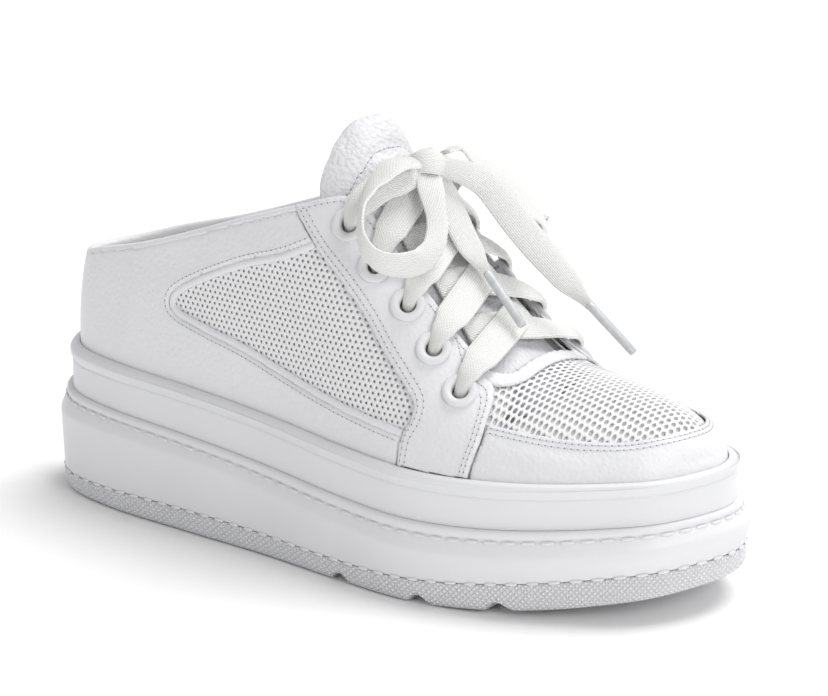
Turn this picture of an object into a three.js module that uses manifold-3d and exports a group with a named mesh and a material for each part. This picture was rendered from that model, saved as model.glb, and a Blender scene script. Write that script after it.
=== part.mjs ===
// A right platform sneaker that slips on over a low heel collar and ties with a bow.
// Millimetres. +X points to the toe, +Y to the inner side of the foot and +Z up.
// The origin is on the floor, under the middle of the sole.
import * as THREE from 'three'
import { mergeVertices } from 'three/addons/utils/BufferGeometryUtils.js'
import Module from 'manifold-3d'

const wasm = await Module()
wasm.setup()

// Driving sizes of the sole.
const soleLength = 260
const soleWidth = 97.3
const heelHeight = 49.2
const toeSpring = 10.6
const bandInset = 4
const beadProud = 0.8
const ledgeInset = 2.3
const grooveDepth = 0.9
const treadInset = 1
const bottomRound = 3
const notchWidth = 9
const notchHeight = 3.2

// Driving sizes of the upper.
const instepHeight = 130
const rimLip = 2.6
const gap = 0.3
const seam = 0.44
const eyestayThickness = 1.6
const panelThickness = 1
const shellThickness = 1.7
const tongueThickness = 3.4
const tongueGap = 0.9
const insoleThickness = 4
const throatWidth = 43

// Driving sizes of the eyelets and the lace.
const eyeletFlange = 10.8
const eyeletBore = 5
const eyeletWall = 0.9
const eyeletHead = 0.9
const eyeletSeat = 1.05
const laceWidth = 9.7
const laceThickness = 1.4
const agletLength = 19
const agletDiameter = 3.4

// Fineness of the curved surfaces.
const columns = 44
const rises = 8

// The widest line of the sole, seen from above: places along its length from the heel to the toe,
// and where the outer and the inner side lie there, as shares of half the sole's width.
const planStations = [
  { along: 0.00, outer: 0.07, inner: 0.07 },
  { along: 0.02, outer: -0.23, inner: 0.375 },
  { along: 0.07, outer: -0.495, inner: 0.64 },
  { along: 0.16, outer: -0.66, inner: 0.79 },
  { along: 0.30, outer: -0.755, inner: 0.83 },
  { along: 0.44, outer: -0.83, inner: 0.82 },
  { along: 0.57, outer: -0.94, inner: 0.885 },
  { along: 0.68, outer: -1.00, inner: 0.975 },
  { along: 0.80, outer: -0.895, inner: 1.00 },
  { along: 0.90, outer: -0.66, inner: 0.845 },
  { along: 0.97, outer: -0.37, inner: 0.56 },
  { along: 1.00, outer: 0.17, inner: 0.17 }
]

// The lines that run round the side of the sole, as shares of the sole's height at the heel.
const sideStations = [
  { along: 0.00, rim: 1.000, bead: 0.886, ledge: 0.697, groove: 0.640, edge: 0.520, tread: 0.114 },
  { along: 0.35, rim: 0.939, bead: 0.848, ledge: 0.628, groove: 0.573, edge: 0.486, tread: 0.158 },
  { along: 0.69, rim: 0.817, bead: 0.722, ledge: 0.518, groove: 0.453, edge: 0.346, tread: 0.158 },
  { along: 1.00, rim: 0.902, bead: 0.833, ledge: 0.646, groove: 0.598, edge: 0.504, tread: 0.364 }
]
const springStart = 0.67

// The ridge of the last: its place along the sole, its side shift as a share of half the sole's width,
// its height as a share of the instep's, and how square the arch over it is.
const ridgeStations = [
  { along: 0.10, side: 0.07, height: 0.800, square: 3.0 },
  { along: 0.25, side: 0.06, height: 1.000, square: 2.6 },
  { along: 0.40, side: 0.05, height: 1.130, square: 2.4 },
  { along: 0.50, side: 0.04, height: 1.050, square: 2.1 },
  { along: 0.58, side: 0.03, height: 0.872, square: 1.9 },
  { along: 0.66, side: 0.03, height: 0.700, square: 1.8 },
  { along: 0.74, side: 0.05, height: 0.552, square: 1.95 },
  { along: 0.82, side: 0.09, height: 0.515, square: 1.95 },
  { along: 0.90, side: 0.13, height: 0.482, square: 2.2 }
]

// Edges of the upper's pieces, seen from the side: shares of the sole's length and of the instep's height.
const collarEdge = [
  { along: -0.03, height: 0.585 },
  { along: 0.05, height: 0.612 },
  { along: 0.12, height: 0.648 },
  { along: 0.21, height: 0.693 },
  { along: 0.31, height: 0.758 },
  { along: 0.37, height: 0.800 },
  { along: 0.45, height: 0.852 },
  { along: 0.49, height: 0.878 },
  { along: 0.52, height: 0.888 },
  { along: 0.55, height: 0.865 }
]
const eyestayRearEdge = [
  { along: 0.430, height: 0.930 },
  { along: 0.447, height: 0.870 },
  { along: 0.493, height: 0.772 },
  { along: 0.537, height: 0.700 },
  { along: 0.575, height: 0.632 },
  { along: 0.608, height: 0.563 },
  { along: 0.640, height: 0.504 },
  { along: 0.663, height: 0.458 },
  { along: 0.664, height: 0.420 },
  { along: 0.655, height: 0.370 },
  { along: 0.650, height: 0.200 }
]
const eyestayFrontEdge = [
  { along: 0.690, height: 0.600 },
  { along: 0.719, height: 0.525 },
  { along: 0.738, height: 0.500 },
  { along: 0.748, height: 0.470 },
  { along: 0.753, height: 0.430 },
  { along: 0.755, height: 0.390 },
  { along: 0.752, height: 0.345 },
  { along: 0.744, height: 0.200 }
]
const windowEdge = [
  { along: 0.500, height: 0.792 },
  { along: 0.446, height: 0.741 },
  { along: 0.384, height: 0.703 },
  { along: 0.316, height: 0.647 },
  { along: 0.276, height: 0.606 },
  { along: 0.259, height: 0.572 },
  { along: 0.268, height: 0.535 },
  { along: 0.322, height: 0.508 },
  { along: 0.389, height: 0.482 },
  { along: 0.457, height: 0.446 },
  { along: 0.527, height: 0.415 },
  { along: 0.596, height: 0.392 },
  { along: 0.680, height: 0.372 }
]
const toeCapEdge = [
  { along: 0.700, height: 0.445 },
  { along: 0.760, height: 0.430 },
  { along: 0.840, height: 0.415 },
  { along: 0.900, height: 0.413 },
  { along: 0.950, height: 0.427 },
  { along: 1.020, height: 0.450 }
]

// Where the eyelets sit on the outer side, from the top one down, seen from the side.
const eyeletStations = [
  { along: 0.531, height: 0.825 },
  { along: 0.573, height: 0.739 },
  { along: 0.621, height: 0.659 },
  { along: 0.665, height: 0.571 },
  { along: 0.710, height: 0.488 }
]

// The grooves across the underside of the forefoot, and the tongue's half width from its top edge
// to its foot, as shares of the way round the sole and of the arch over the last.
const notchPlaces = [0.577, 0.700, 0.800]
const tongueStations = [
  { turn: 0.239, half: 0.30 },
  { turn: 0.243, half: 0.36 },
  { turn: 0.250, half: 0.40 },
  { turn: 0.267, half: 0.45 },
  { turn: 0.283, half: 0.50 },
  { turn: 0.300, half: 0.50 },
  { turn: 0.317, half: 0.50 },
  { turn: 0.333, half: 0.50 },
  { turn: 0.350, half: 0.48 },
  { turn: 0.367, half: 0.44 },
  { turn: 0.380, half: 0.38 }
]

// A natural cubic spline through the stations, straight beyond both ends.
function splineThrough(stations, column, scale) {
  const xs = stations.map(station => (station.along - 0.5) * soleLength)
  const ys = stations.map(station => station[column] * scale)
  const last = xs.length - 1
  const bend = new Array(last + 1).fill(0)
  const carry = new Array(last + 1).fill(0)
  for (let i = 1; i < last; i++) {
    const before = xs[i] - xs[i - 1]
    const after = xs[i + 1] - xs[i]
    const pivot = 2 * (before + after) - before * carry[i - 1]
    const turn = (ys[i + 1] - ys[i]) / after - (ys[i] - ys[i - 1]) / before
    carry[i] = after / pivot
    bend[i] = (6 * turn - before * bend[i - 1]) / pivot
  }
  for (let i = last - 1; i > 0; i--) bend[i] -= carry[i] * bend[i + 1]
  const slopeAt = (i, from) => {
    const span = xs[i + 1] - xs[i]
    const chord = (ys[i + 1] - ys[i]) / span
    return from === 0
      ? chord - span * (2 * bend[i] + bend[i + 1]) / 6
      : chord + span * (bend[i] + 2 * bend[i + 1]) / 6
  }
  return x => {
    if (x <= xs[0]) return ys[0] + slopeAt(0, 0) * (x - xs[0])
    if (x >= xs[last]) return ys[last] + slopeAt(last - 1, 1) * (x - xs[last])
    let i = 0
    while (x > xs[i + 1]) i++
    const span = xs[i + 1] - xs[i]
    const left = (xs[i + 1] - x) / span
    const right = 1 - left
    const curl = ((left ** 3 - left) * bend[i] + (right ** 3 - right) * bend[i + 1]) * span * span / 6
    return left * ys[i] + right * ys[i + 1] + curl
  }
}

const sideLine = name => splineThrough(sideStations, name, heelHeight)
const rimHeight = sideLine('rim')
const beadHeight = sideLine('bead')
const ledgeHeight = sideLine('ledge')
const grooveHeight = sideLine('groove')
const edgeHeight = sideLine('edge')
const treadHeight = sideLine('tread')

// The sole's underside: flat from the heel to the ball, then rising to the toe.
function groundHeight(x) {
  const start = (springStart - 0.5) * soleLength
  const share = Math.max(0, x - start) / (soleLength / 2 - start)
  return toeSpring * share * share
}

// The plan curve runs from the heel up the outer side to the toe and back down the inner side,
// so that turn and 1 - turn lie opposite each other.
const outerSide = planStations.map(s => new THREE.Vector3((s.along - 0.5) * soleLength, s.outer * soleWidth / 2, 0))
const innerSide = planStations.slice(1, -1).reverse()
  .map(s => new THREE.Vector3((s.along - 0.5) * soleLength, s.inner * soleWidth / 2, 0))
const planCurve = new THREE.CatmullRomCurve3([...outerSide, ...innerSide], true, 'centripetal')

function planPoint(turn, inset) {
  const step = 1e-4
  const wrap = value => (value % 1 + 1) % 1
  const point = planCurve.getPoint(wrap(turn))
  const along = planCurve.getPoint(wrap(turn + step)).sub(planCurve.getPoint(wrap(turn - step))).normalize()
  return new THREE.Vector3(point.x - along.y * inset, point.y + along.x * inset, 0)
}

// Turns vertices and triangles into a solid, a geometry into a solid, and a solid into a geometry.
function solidFrom(vertices, triangles) {
  return new wasm.Manifold(new wasm.Mesh({
    numProp: 3,
    vertProperties: new Float32Array(vertices.flatMap(v => [v.x, v.y, v.z])),
    triVerts: new Uint32Array(triangles.flat())
  }))
}

function solidFromGeometry(geometry) {
  const bare = geometry.clone()
  bare.deleteAttribute('normal')
  bare.deleteAttribute('uv')
  const merged = mergeVertices(bare, 1e-4)
  return new wasm.Manifold(new wasm.Mesh({
    numProp: 3,
    vertProperties: new Float32Array(merged.attributes.position.array),
    triVerts: new Uint32Array(merged.index.array)
  }))
}

function geometryFrom(solid) {
  const { vertProperties, triVerts } = solid.getMesh()
  const geometry = new THREE.BufferGeometry()
  geometry.setAttribute('position', new THREE.BufferAttribute(new Float32Array(vertProperties), 3))
  geometry.setIndex(new THREE.BufferAttribute(new Uint32Array(triVerts), 1))
  return geometry
}

// The triangles between neighbouring rings of points, each ring running the same way round.
function wallBetween(lower, upper, count) {
  const triangles = []
  for (let i = 0; i < count; i++) {
    const next = (i + 1) % count
    triangles.push([lower + i, lower + next, upper + next], [lower + i, upper + next, upper + i])
  }
  return triangles
}

// A flat end over one ring, with rungs from its outer half to the opposite points of its inner half.
function endOver(start, count, facingUp) {
  const triangles = []
  const half = count / 2
  for (let i = 0; i < half; i++) {
    const across = (count - i) % count
    const nextAcross = count - i - 1
    if (i + 1 < half) triangles.push([i, i + 1, nextAcross])
    if (i > 0) triangles.push([i, nextAcross, across])
  }
  return triangles.map(([a, b, c]) => (facingUp ? [a, b, c] : [a, c, b]).map(index => start + index))
}

// A solid with one ring of points for each level, listed from the lowest up.
function stackSolid(rings) {
  const count = rings[0].length
  const triangles = endOver(0, count, false)
  for (let level = 1; level < rings.length; level++) {
    triangles.push(...wallBetween((level - 1) * count, level * count, count))
  }
  triangles.push(...endOver((rings.length - 1) * count, count, true))
  return solidFrom(rings.flat(), triangles)
}

// A solid ring: its levels run up the outer side and down the inner side.
function loopSolid(rings) {
  const count = rings[0].length
  const triangles = rings.flatMap((_, level) => {
    return wallBetween(level * count, (level + 1) % rings.length * count, count)
  })
  return solidFrom(rings.flat(), triangles)
}

const turns = Array.from({ length: columns }, (_, i) => i / columns)

function soleRing(inset, height) {
  return turns.map(turn => {
    const point = planPoint(turn, inset)
    return new THREE.Vector3(point.x, point.y, height(point.x))
  })
}

// The last's surface. Each arch fans out from the ridge to the foot of the upper, just inside the rim.
const panelDepth = eyestayThickness - panelThickness
const footInset = bandInset + rimLip + gap - panelDepth
const footDrop = 3
const ridgeSide = splineThrough(ridgeStations, 'side', soleWidth / 2)
const ridgeHeight = splineThrough(ridgeStations, 'height', instepHeight)
const ridgeSquare = splineThrough(ridgeStations, 'square', 1)
const ridgeStart = (ridgeStations[0].along - 0.5) * soleLength
const ridgeEnd = (ridgeStations[ridgeStations.length - 1].along - 0.5) * soleLength

function lastPoint(turn, rise) {
  const foot = planPoint(turn, footInset)
  const opposite = planPoint(1 - turn, footInset)
  const share = ((foot.x + opposite.x + soleLength) / 2 - footInset) / (soleLength - 2 * footInset)
  const ridgeX = ridgeStart + (ridgeEnd - ridgeStart) * share
  const ridgeY = ridgeSide(ridgeX)
  const square = ridgeSquare(ridgeX)
  const out = Math.cos(rise * Math.PI / 2)
  const up = Math.sin(rise * Math.PI / 2)
  const radius = (Math.abs(out) ** square + Math.abs(up) ** square) ** (-1 / square)
  const x = ridgeX + (foot.x - ridgeX) * out * radius
  const y = ridgeY + (foot.y - ridgeY) * out * radius
  const base = rimHeight(foot.x) - footDrop
  return new THREE.Vector3(x, y, base + (ridgeHeight(x) - base) * up * radius)
}

// The outward direction of the last's surface. Along the ridge it leans only forwards or backwards.
function lastNormal(turn, rise) {
  const step = 1e-3
  if (rise === 1) {
    const { x } = lastPoint(turn, 1)
    return new THREE.Vector3(ridgeHeight(x - step) - ridgeHeight(x + step), 0, 2 * step).normalize()
  }
  const round = lastPoint(turn + step, rise).sub(lastPoint(turn - step, rise))
  const up = lastPoint(turn, rise + step).sub(lastPoint(turn, rise - step))
  return round.cross(up).normalize()
}

function onLast(turn, rise, offset) {
  return lastPoint(turn, rise).addScaledVector(lastNormal(turn, rise), offset)
}

// Places on the last named by how far they lie across the arch: -1 is the outer foot, 0 the ridge, 1 the inner foot.
const besideRidge = (turn, across) => [across < 0 ? turn : 1 - turn, 1 - Math.abs(across)]
const acrossLast = (turn, across, offset) => onLast(...besideRidge(turn, across), offset)

// The solid under the last's surface at an offset, down to a lowest height that may change along the shoe.
function solidUnderLast(offset, lowest) {
  const rings = []
  for (let level = 0; level < rises; level++) {
    rings.push(turns.map(turn => onLast(turn, level / rises, offset)))
  }
  const skirt = rings[0].map(point => new THREE.Vector3(point.x, point.y, lowest(point.x)))
  rings.unshift(skirt)
  const half = columns / 2
  const ridge = turns.slice(0, half + 1).map(turn => onLast(turn, 1, offset))
  const triangles = endOver(0, columns, false)
  for (let level = 1; level < rings.length; level++) {
    triangles.push(...wallBetween((level - 1) * columns, level * columns, columns))
  }
  const lastRing = (rings.length - 1) * columns
  const ridgeAt = i => rings.length * columns + Math.min(i, columns - i)
  for (let i = 0; i < columns; i++) {
    const next = (i + 1) % columns
    triangles.push([lastRing + i, lastRing + next, ridgeAt(i + 1)], [lastRing + i, ridgeAt(i + 1), ridgeAt(i)])
  }
  return solidFrom([...rings.flat(), ...ridge], triangles)
}

// Cutters. A side outline is drawn along the sole and up, and cuts from one side of the shoe to the other.
const sidePoint = ({ along, height }) => new THREE.Vector2((along - 0.5) * soleLength, height * instepHeight)

function smoothEdge(stations) {
  return new THREE.SplineCurve(stations.map(sidePoint)).getPoints(2 * (stations.length - 1))
}

function sideCutter(outline) {
  const geometry = new THREE.ExtrudeGeometry(new THREE.Shape(outline), { depth: 2 * soleWidth, bevelEnabled: false })
  geometry.rotateX(Math.PI / 2)
  geometry.translate(0, soleWidth, 0)
  return solidFromGeometry(geometry)
}

const farUp = 2 * instepHeight
const farDown = -heelHeight
const farFront = soleLength

const floorHeight = x => ledgeHeight(x) + gap
const belowFloor = x => ledgeHeight(x) - footDrop
const shellDepth = eyestayThickness + gap
const liningDepth = shellDepth + shellThickness

const collarPoints = smoothEdge(collarEdge)
const aboveCollar = sideCutter([
  ...collarPoints,
  new THREE.Vector2(collarPoints[collarPoints.length - 1].x, farUp),
  new THREE.Vector2(-farFront, farUp),
  new THREE.Vector2(-farFront, collarPoints[0].y)
])

// The throat, seen from above: open towards the collar, with round corners over the toes.
const throatFront = 0.745
const throatBack = 0.35
const throatCorner = 9
const throatTaper = 0.94

function throatCutter() {
  const front = (throatFront - 0.5) * soleLength
  const back = (throatBack - 0.5) * soleLength
  const middle = ridgeSide(0)
  const wide = throatWidth / 2
  const narrow = wide * throatTaper
  const shape = new THREE.Shape()
  shape.moveTo(back, middle - narrow)
  shape.lineTo(front - throatCorner, middle - wide)
  shape.quadraticCurveTo(front, middle - wide, front, middle - wide + throatCorner)
  shape.lineTo(front, middle + wide - throatCorner)
  shape.quadraticCurveTo(front, middle + wide, front - throatCorner, middle + wide)
  shape.lineTo(back, middle + narrow)
  const geometry = new THREE.ExtrudeGeometry(shape, { depth: farUp, bevelEnabled: false, curveSegments: 4 })
  geometry.translate(0, 0, heelHeight)
  return solidFromGeometry(geometry)
}

// Finds the place on the last that lies at a point of the side view, on the outer side.
function placeOnLast(station) {
  const target = sidePoint(station)
  const place = { turn: 0.3, rise: 0.5 }
  const step = 1e-3
  for (let pass = 0; pass < 20; pass++) {
    const here = lastPoint(place.turn, place.rise)
    const byTurn = lastPoint(place.turn + step, place.rise).sub(here).divideScalar(step)
    const byRise = lastPoint(place.turn, place.rise + step).sub(here).divideScalar(step)
    const missX = target.x - here.x
    const missZ = target.y - here.z
    const area = byTurn.x * byRise.z - byRise.x * byTurn.z
    place.turn += (missX * byRise.z - missZ * byRise.x) / area
    place.rise += (missZ * byTurn.x - missX * byTurn.z) / area
  }
  return place
}

const outerEyelets = eyeletStations.map(placeOnLast)
const innerEyelets = outerEyelets.map(({ turn, rise }) => ({ turn: 1 - turn, rise }))

function standOnLast(geometry, { turn, rise }, offset) {
  const up = new THREE.Vector3(0, 1, 0)
  const rotation = new THREE.Quaternion().setFromUnitVectors(up, lastNormal(turn, rise))
  const place = onLast(turn, rise, offset)
  return geometry.applyQuaternion(rotation).translate(place.x, place.y, place.z)
}

const eyeletBarrel = eyeletBore / 2 + eyeletWall
const eyeletSides = 10
const eyeletHoles = [...outerEyelets, ...innerEyelets].map(place => {
  const radius = eyeletBarrel + gap
  const drill = new THREE.CylinderGeometry(radius, radius, 4 * liningDepth, eyeletSides)
  return solidFromGeometry(standOnLast(drill, place, 0))
})

const cutAll = (solid, cutters) => cutters.reduce((rest, cutter) => rest.subtract(cutter), solid)
const openings = [aboveCollar, throatCutter(), ...eyeletHoles]

// The pieces of the sole.
function outsoleSolid() {
  const rounding = [0, 0.33, 0.67, 1].map(share => {
    const angle = share * Math.PI / 2
    const inset = treadInset + bottomRound * (1 - Math.sin(angle))
    return soleRing(inset, x => groundHeight(x) + bottomRound * (1 - Math.cos(angle)))
  })
  const top = soleRing(treadInset, x => treadHeight(x) - gap / 2)
  const notches = notchPlaces.map(along => {
    const x = (along - 0.5) * soleLength
    const arch = new THREE.Shape()
    arch.moveTo(x - notchWidth / 2, farDown)
    arch.lineTo(x + notchWidth / 2, farDown)
    arch.lineTo(x + notchWidth / 2, groundHeight(x))
    arch.bezierCurveTo(
      x + notchWidth / 4, groundHeight(x) + notchHeight * 1.3,
      x - notchWidth / 4, groundHeight(x) + notchHeight * 1.3,
      x - notchWidth / 2, groundHeight(x)
    )
    return sideCutter(arch.getPoints(6))
  })
  return cutAll(stackSolid([...rounding, top]), notches)
}

function midsoleSolid() {
  const lip = grooveDepth
  return stackSolid([
    soleRing(treadInset + grooveDepth, x => treadHeight(x) + gap / 2),
    soleRing(treadInset, x => treadHeight(x) + gap / 2 + lip),
    soleRing(0, edgeHeight),
    soleRing(ledgeInset, x => grooveHeight(x) - lip / 2),
    soleRing(ledgeInset + grooveDepth, grooveHeight),
    soleRing(ledgeInset, x => grooveHeight(x) + lip / 2),
    soleRing(ledgeInset, x => ledgeHeight(x) - lip),
    soleRing(ledgeInset + lip, ledgeHeight)
  ])
}

function cupSolid() {
  const inner = bandInset + rimLip
  const beadInset = bandInset - beadProud
  const beadMiddle = x => (beadHeight(x) + rimHeight(x)) / 2
  return loopSolid([
    soleRing(bandInset, floorHeight),
    soleRing(bandInset + gap, x => (ledgeHeight(x) + beadHeight(x)) / 2),
    soleRing(bandInset, beadHeight),
    soleRing(beadInset + gap, x => beadHeight(x) + gap),
    soleRing(beadInset, beadMiddle),
    soleRing(beadInset + gap, x => rimHeight(x) - beadProud),
    soleRing(bandInset, rimHeight),
    soleRing(inner, rimHeight),
    soleRing(inner, floorHeight)
  ])
}

function insoleSolid() {
  const edge = footInset + liningDepth + gap
  const round = insoleThickness / 4
  return stackSolid([
    soleRing(edge, floorHeight),
    soleRing(edge, x => floorHeight(x) + insoleThickness - round),
    soleRing(edge + round, x => floorHeight(x) + insoleThickness)
  ])
}

// The pieces of the upper.
const outerSkin = solidUnderLast(0, floorHeight)
const panelSkin = solidUnderLast(-panelDepth, floorHeight)
const underPanels = solidUnderLast(-eyestayThickness, belowFloor)
const aboveRim = x => rimHeight(x) + gap
const insideRim = stackSolid([soleRing(0, () => farDown), soleRing(0, aboveRim)])

const rearEdge = smoothEdge(eyestayRearEdge)
const frontEdge = smoothEdge(eyestayFrontEdge)
const shifted = (points, distance) => points.map(point => new THREE.Vector2(point.x + distance, point.y))
const corner = (point, height) => new THREE.Vector2(point.x, height)
const lastOf = points => points[points.length - 1]

const eyestayBand = sideCutter([
  corner(rearEdge[0], farUp), ...rearEdge, corner(lastOf(rearEdge), farDown),
  corner(lastOf(frontEdge), farDown), ...frontEdge.slice().reverse(), corner(frontEdge[0], farUp)
])
const behindEyestay = sideCutter([
  new THREE.Vector2(-farFront, farUp), new THREE.Vector2(-farFront, farDown),
  corner(lastOf(shifted(rearEdge, -seam)), farDown), ...shifted(rearEdge, -seam).reverse(),
  corner(shifted(rearEdge, -seam)[0], farUp)
])
const aheadOfEyestay = sideCutter([
  corner(shifted(frontEdge, seam)[0], farUp), ...shifted(frontEdge, seam),
  corner(lastOf(shifted(frontEdge, seam)), farDown),
  new THREE.Vector2(farFront, farDown), new THREE.Vector2(farFront, farUp)
])
const toeEdge = smoothEdge(toeCapEdge)
const belowToeEdge = sideCutter([
  ...toeEdge, corner(lastOf(toeEdge), farDown), corner(toeEdge[0], farDown)
])
const windowPoints = smoothEdge(windowEdge)
const sideWindow = sideCutter([...windowPoints, corner(lastOf(windowPoints), windowPoints[0].y)])

const upper = cutAll(solidUnderLast(-shellDepth, floorHeight), [solidUnderLast(-liningDepth, belowFloor), ...openings])
const quarter = cutAll(panelSkin.subtract(underPanels).intersect(behindEyestay), [sideWindow, ...openings])
const toeCap = panelSkin.subtract(underPanels).intersect(aheadOfEyestay).intersect(belowToeEdge)
const eyestays = cutAll(outerSkin.subtract(underPanels).intersect(eyestayBand), [insideRim, ...openings]).decompose()
const sideOf = solid => solid.boundingBox().min[1] + solid.boundingBox().max[1]
eyestays.sort((a, b) => sideOf(a) - sideOf(b))

// The tongue is a padded sheet under the lining of the throat, rounded at its top edge.
function tongueSolid() {
  const steps = 8
  const outer = liningDepth + tongueGap
  const sheet = depth => tongueStations.map(({ turn, half }) => {
    return Array.from({ length: steps + 1 }, (_, i) => acrossLast(turn, half * (2 * i / steps - 1), -depth))
  })
  const width = steps + 1
  const rows = tongueStations.length
  const over = sheet(outer).flat()
  const under = sheet(outer + tongueThickness).flat()
  const triangles = []
  const quad = (a, b, c, d) => triangles.push([a, b, c], [a, c, d])
  for (let row = 0; row + 1 < rows; row++) {
    for (let i = 0; i < steps; i++) {
      const a = row * width + i
      quad(a, a + width, a + width + 1, a + 1)
      quad(over.length + a, over.length + a + 1, over.length + a + width + 1, over.length + a + width)
    }
    const left = row * width
    const right = left + steps
    quad(left, over.length + left, over.length + left + width, left + width)
    quad(right, right + width, over.length + right + width, over.length + right)
  }
  for (let i = 0; i < steps; i++) {
    const end = (rows - 1) * width + i
    quad(i, i + 1, over.length + i + 1, over.length + i)
    quad(end, over.length + end, over.length + end + 1, end + 1)
  }
  return solidFrom([...over, ...under], triangles)
}

// An eyelet is a turned ring: a barrel through the leather and a rounded head on top.
function eyeletGeometry(place) {
  const bore = eyeletBore / 2
  const head = eyeletFlange / 2
  const profile = [
    [bore, -liningDepth], [eyeletBarrel, -liningDepth], [eyeletBarrel, eyeletSeat], [head, eyeletSeat],
    [head, eyeletSeat + eyeletHead / 2], [(bore + head) / 2, eyeletSeat + eyeletHead],
    [bore, eyeletSeat + eyeletHead / 2], [bore, -liningDepth]
  ].map(([radius, height]) => new THREE.Vector2(radius, height))
  return standOnLast(new THREE.LatheGeometry(profile, eyeletSides), place, 0)
}

// The flat lace: an oval section swept along a path, its flat face turned as chosen at each point.
class LacePath extends THREE.CatmullRomCurve3 {
  constructor(points, faces) {
    super(points, false, 'centripetal')
    this.faces = faces
  }

  computeFrenetFrames(segments) {
    const frames = { tangents: [], normals: [], binormals: [] }
    for (let i = 0; i <= segments; i++) {
      const tangent = this.getTangentAt(i / segments)
      const place = this.getUtoTmapping(i / segments) * (this.faces.length - 1)
      const index = Math.min(Math.floor(place), this.faces.length - 2)
      const face = this.faces[index].clone().lerp(this.faces[index + 1], place - index)
      face.addScaledVector(tangent, -face.dot(tangent)).normalize()
      frames.tangents.push(tangent)
      frames.normals.push(new THREE.Vector3().crossVectors(face, tangent))
      frames.binormals.push(face)
    }
    return frames
  }
}

function laceGeometry(points, faces, steps) {
  const wide = laceWidth / 2
  const thick = laceThickness / 2
  const flat = wide - thick
  const section = new THREE.Shape([
    [wide, -thick / 2], [wide, thick / 2], [flat, thick], [-flat, thick],
    [-wide, thick / 2], [-wide, -thick / 2], [-flat, -thick], [flat, -thick]
  ].map(([x, y]) => new THREE.Vector2(x, y)))
  const extrudePath = new LacePath(points, faces)
  return new THREE.ExtrudeGeometry(section, { steps, extrudePath, bevelEnabled: false })
}

// A stretch of lace rises out of one eyelet, crosses the throat and slips under the other side,
// one eyelet higher. The table gives its way across and its height over the last.
const knotAhead = 0.018
const crossingStations = [
  { across: 1.00, over: 3.4 },
  { across: 0.80, over: 3.4 },
  { across: 0.45, over: 1.5 },
  { across: 0.00, over: -0.9 },
  { across: -0.35, over: -1.9 },
  { across: -0.52, over: -2.4 }
]

function crossingSolid(from, to, side) {
  const start = 1 - from.rise
  const stretch = crossingStations.map(({ across, over }) => {
    const share = (1 - across) / 2
    const turn = from.turn + (to.turn - from.turn) * share
    return besideRidge(turn, side * start * across).concat(over)
  })
  const points = stretch.map(([turn, rise, over]) => onLast(turn, rise, over))
  const faces = stretch.map(([turn, rise]) => lastNormal(turn, rise))
  return solidFromGeometry(laceGeometry(points, faces, 6))
}

// The top stretches of lace run from the first eyelets forwards to the knot.
const topStations = [
  { ahead: 0, across: 1.00, over: 3.4 },
  { ahead: 0.20, across: 0.80, over: 4.8 },
  { ahead: 0.45, across: 0.56, over: 5.2 },
  { ahead: 0.70, across: 0.38, over: 5.2 }
]

function topStretch(from, side) {
  const start = 1 - from.rise
  const stretch = topStations.map(({ ahead, across, over }) => {
    return besideRidge(from.turn + ahead * knotAhead, side * start * across).concat(over)
  })
  const points = stretch.map(([turn, rise, over]) => onLast(turn, rise, over))
  const faces = stretch.map(([turn, rise]) => lastNormal(turn, rise))
  return laceGeometry(points, faces, 5)
}

// The knot, and the routes of the bow's two loops and two ends, as they fall in use.
const vector = ([x, y, z]) => new THREE.Vector3(x, y, z)
const knotCentre = vector([19.6, 0, 123.3])
const knotRadii = vector([5, 5.5, 5])

const loopOuterRoute = [
  { at: [20.2, -6.8, 125.4], face: [0.2, -0.3, 0.9] },
  { at: [18.6, -14.4, 125.8], face: [0.1, -0.4, 0.9] },
  { at: [16.8, -22.0, 121.2], face: [-0.2, -0.75, 0.6] },
  { at: [17.1, -28.5, 115.4], face: [-0.5, -0.8, 0.3] },
  { at: [19.2, -32.8, 108.7], face: [-0.6, -0.75, -0.1] },
  { at: [22.6, -34.4, 103.3], face: [-0.3, -0.8, -0.5] },
  { at: [27.5, -33.3, 99.9], face: [0.1, -0.8, -0.6] },
  { at: [32.2, -29.7, 98.9], face: [0.4, -0.75, -0.5] },
  { at: [35.6, -24.6, 99.7], face: [0.65, -0.65, -0.35] },
  { at: [36.2, -18.6, 103.2], face: [0.8, -0.5, 0.0] },
  { at: [33.6, -13.0, 108.2], face: [0.75, -0.4, 0.4] },
  { at: [29.0, -8.6, 113.6], face: [0.6, -0.4, 0.65] },
  { at: [25.0, -5.4, 118.6], face: [0.5, -0.4, 0.75] }
]
const endOuterRoute = [
  { at: [24.4, 1.0, 116.6], face: [0.6, -0.3, 0.75] },
  { at: [28.2, 0.2, 111.9], face: [0.65, -0.35, 0.65] },
  { at: [32.0, -0.6, 107.0], face: [0.65, -0.35, 0.65] },
  { at: [36.2, -1.2, 101.6], face: [0.65, -0.35, 0.65] },
  { at: [40.6, -1.6, 96.8], face: [0.65, -0.35, 0.65] },
  { at: [44.8, -1.9, 92.6], face: [0.65, -0.35, 0.65] }
]
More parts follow.
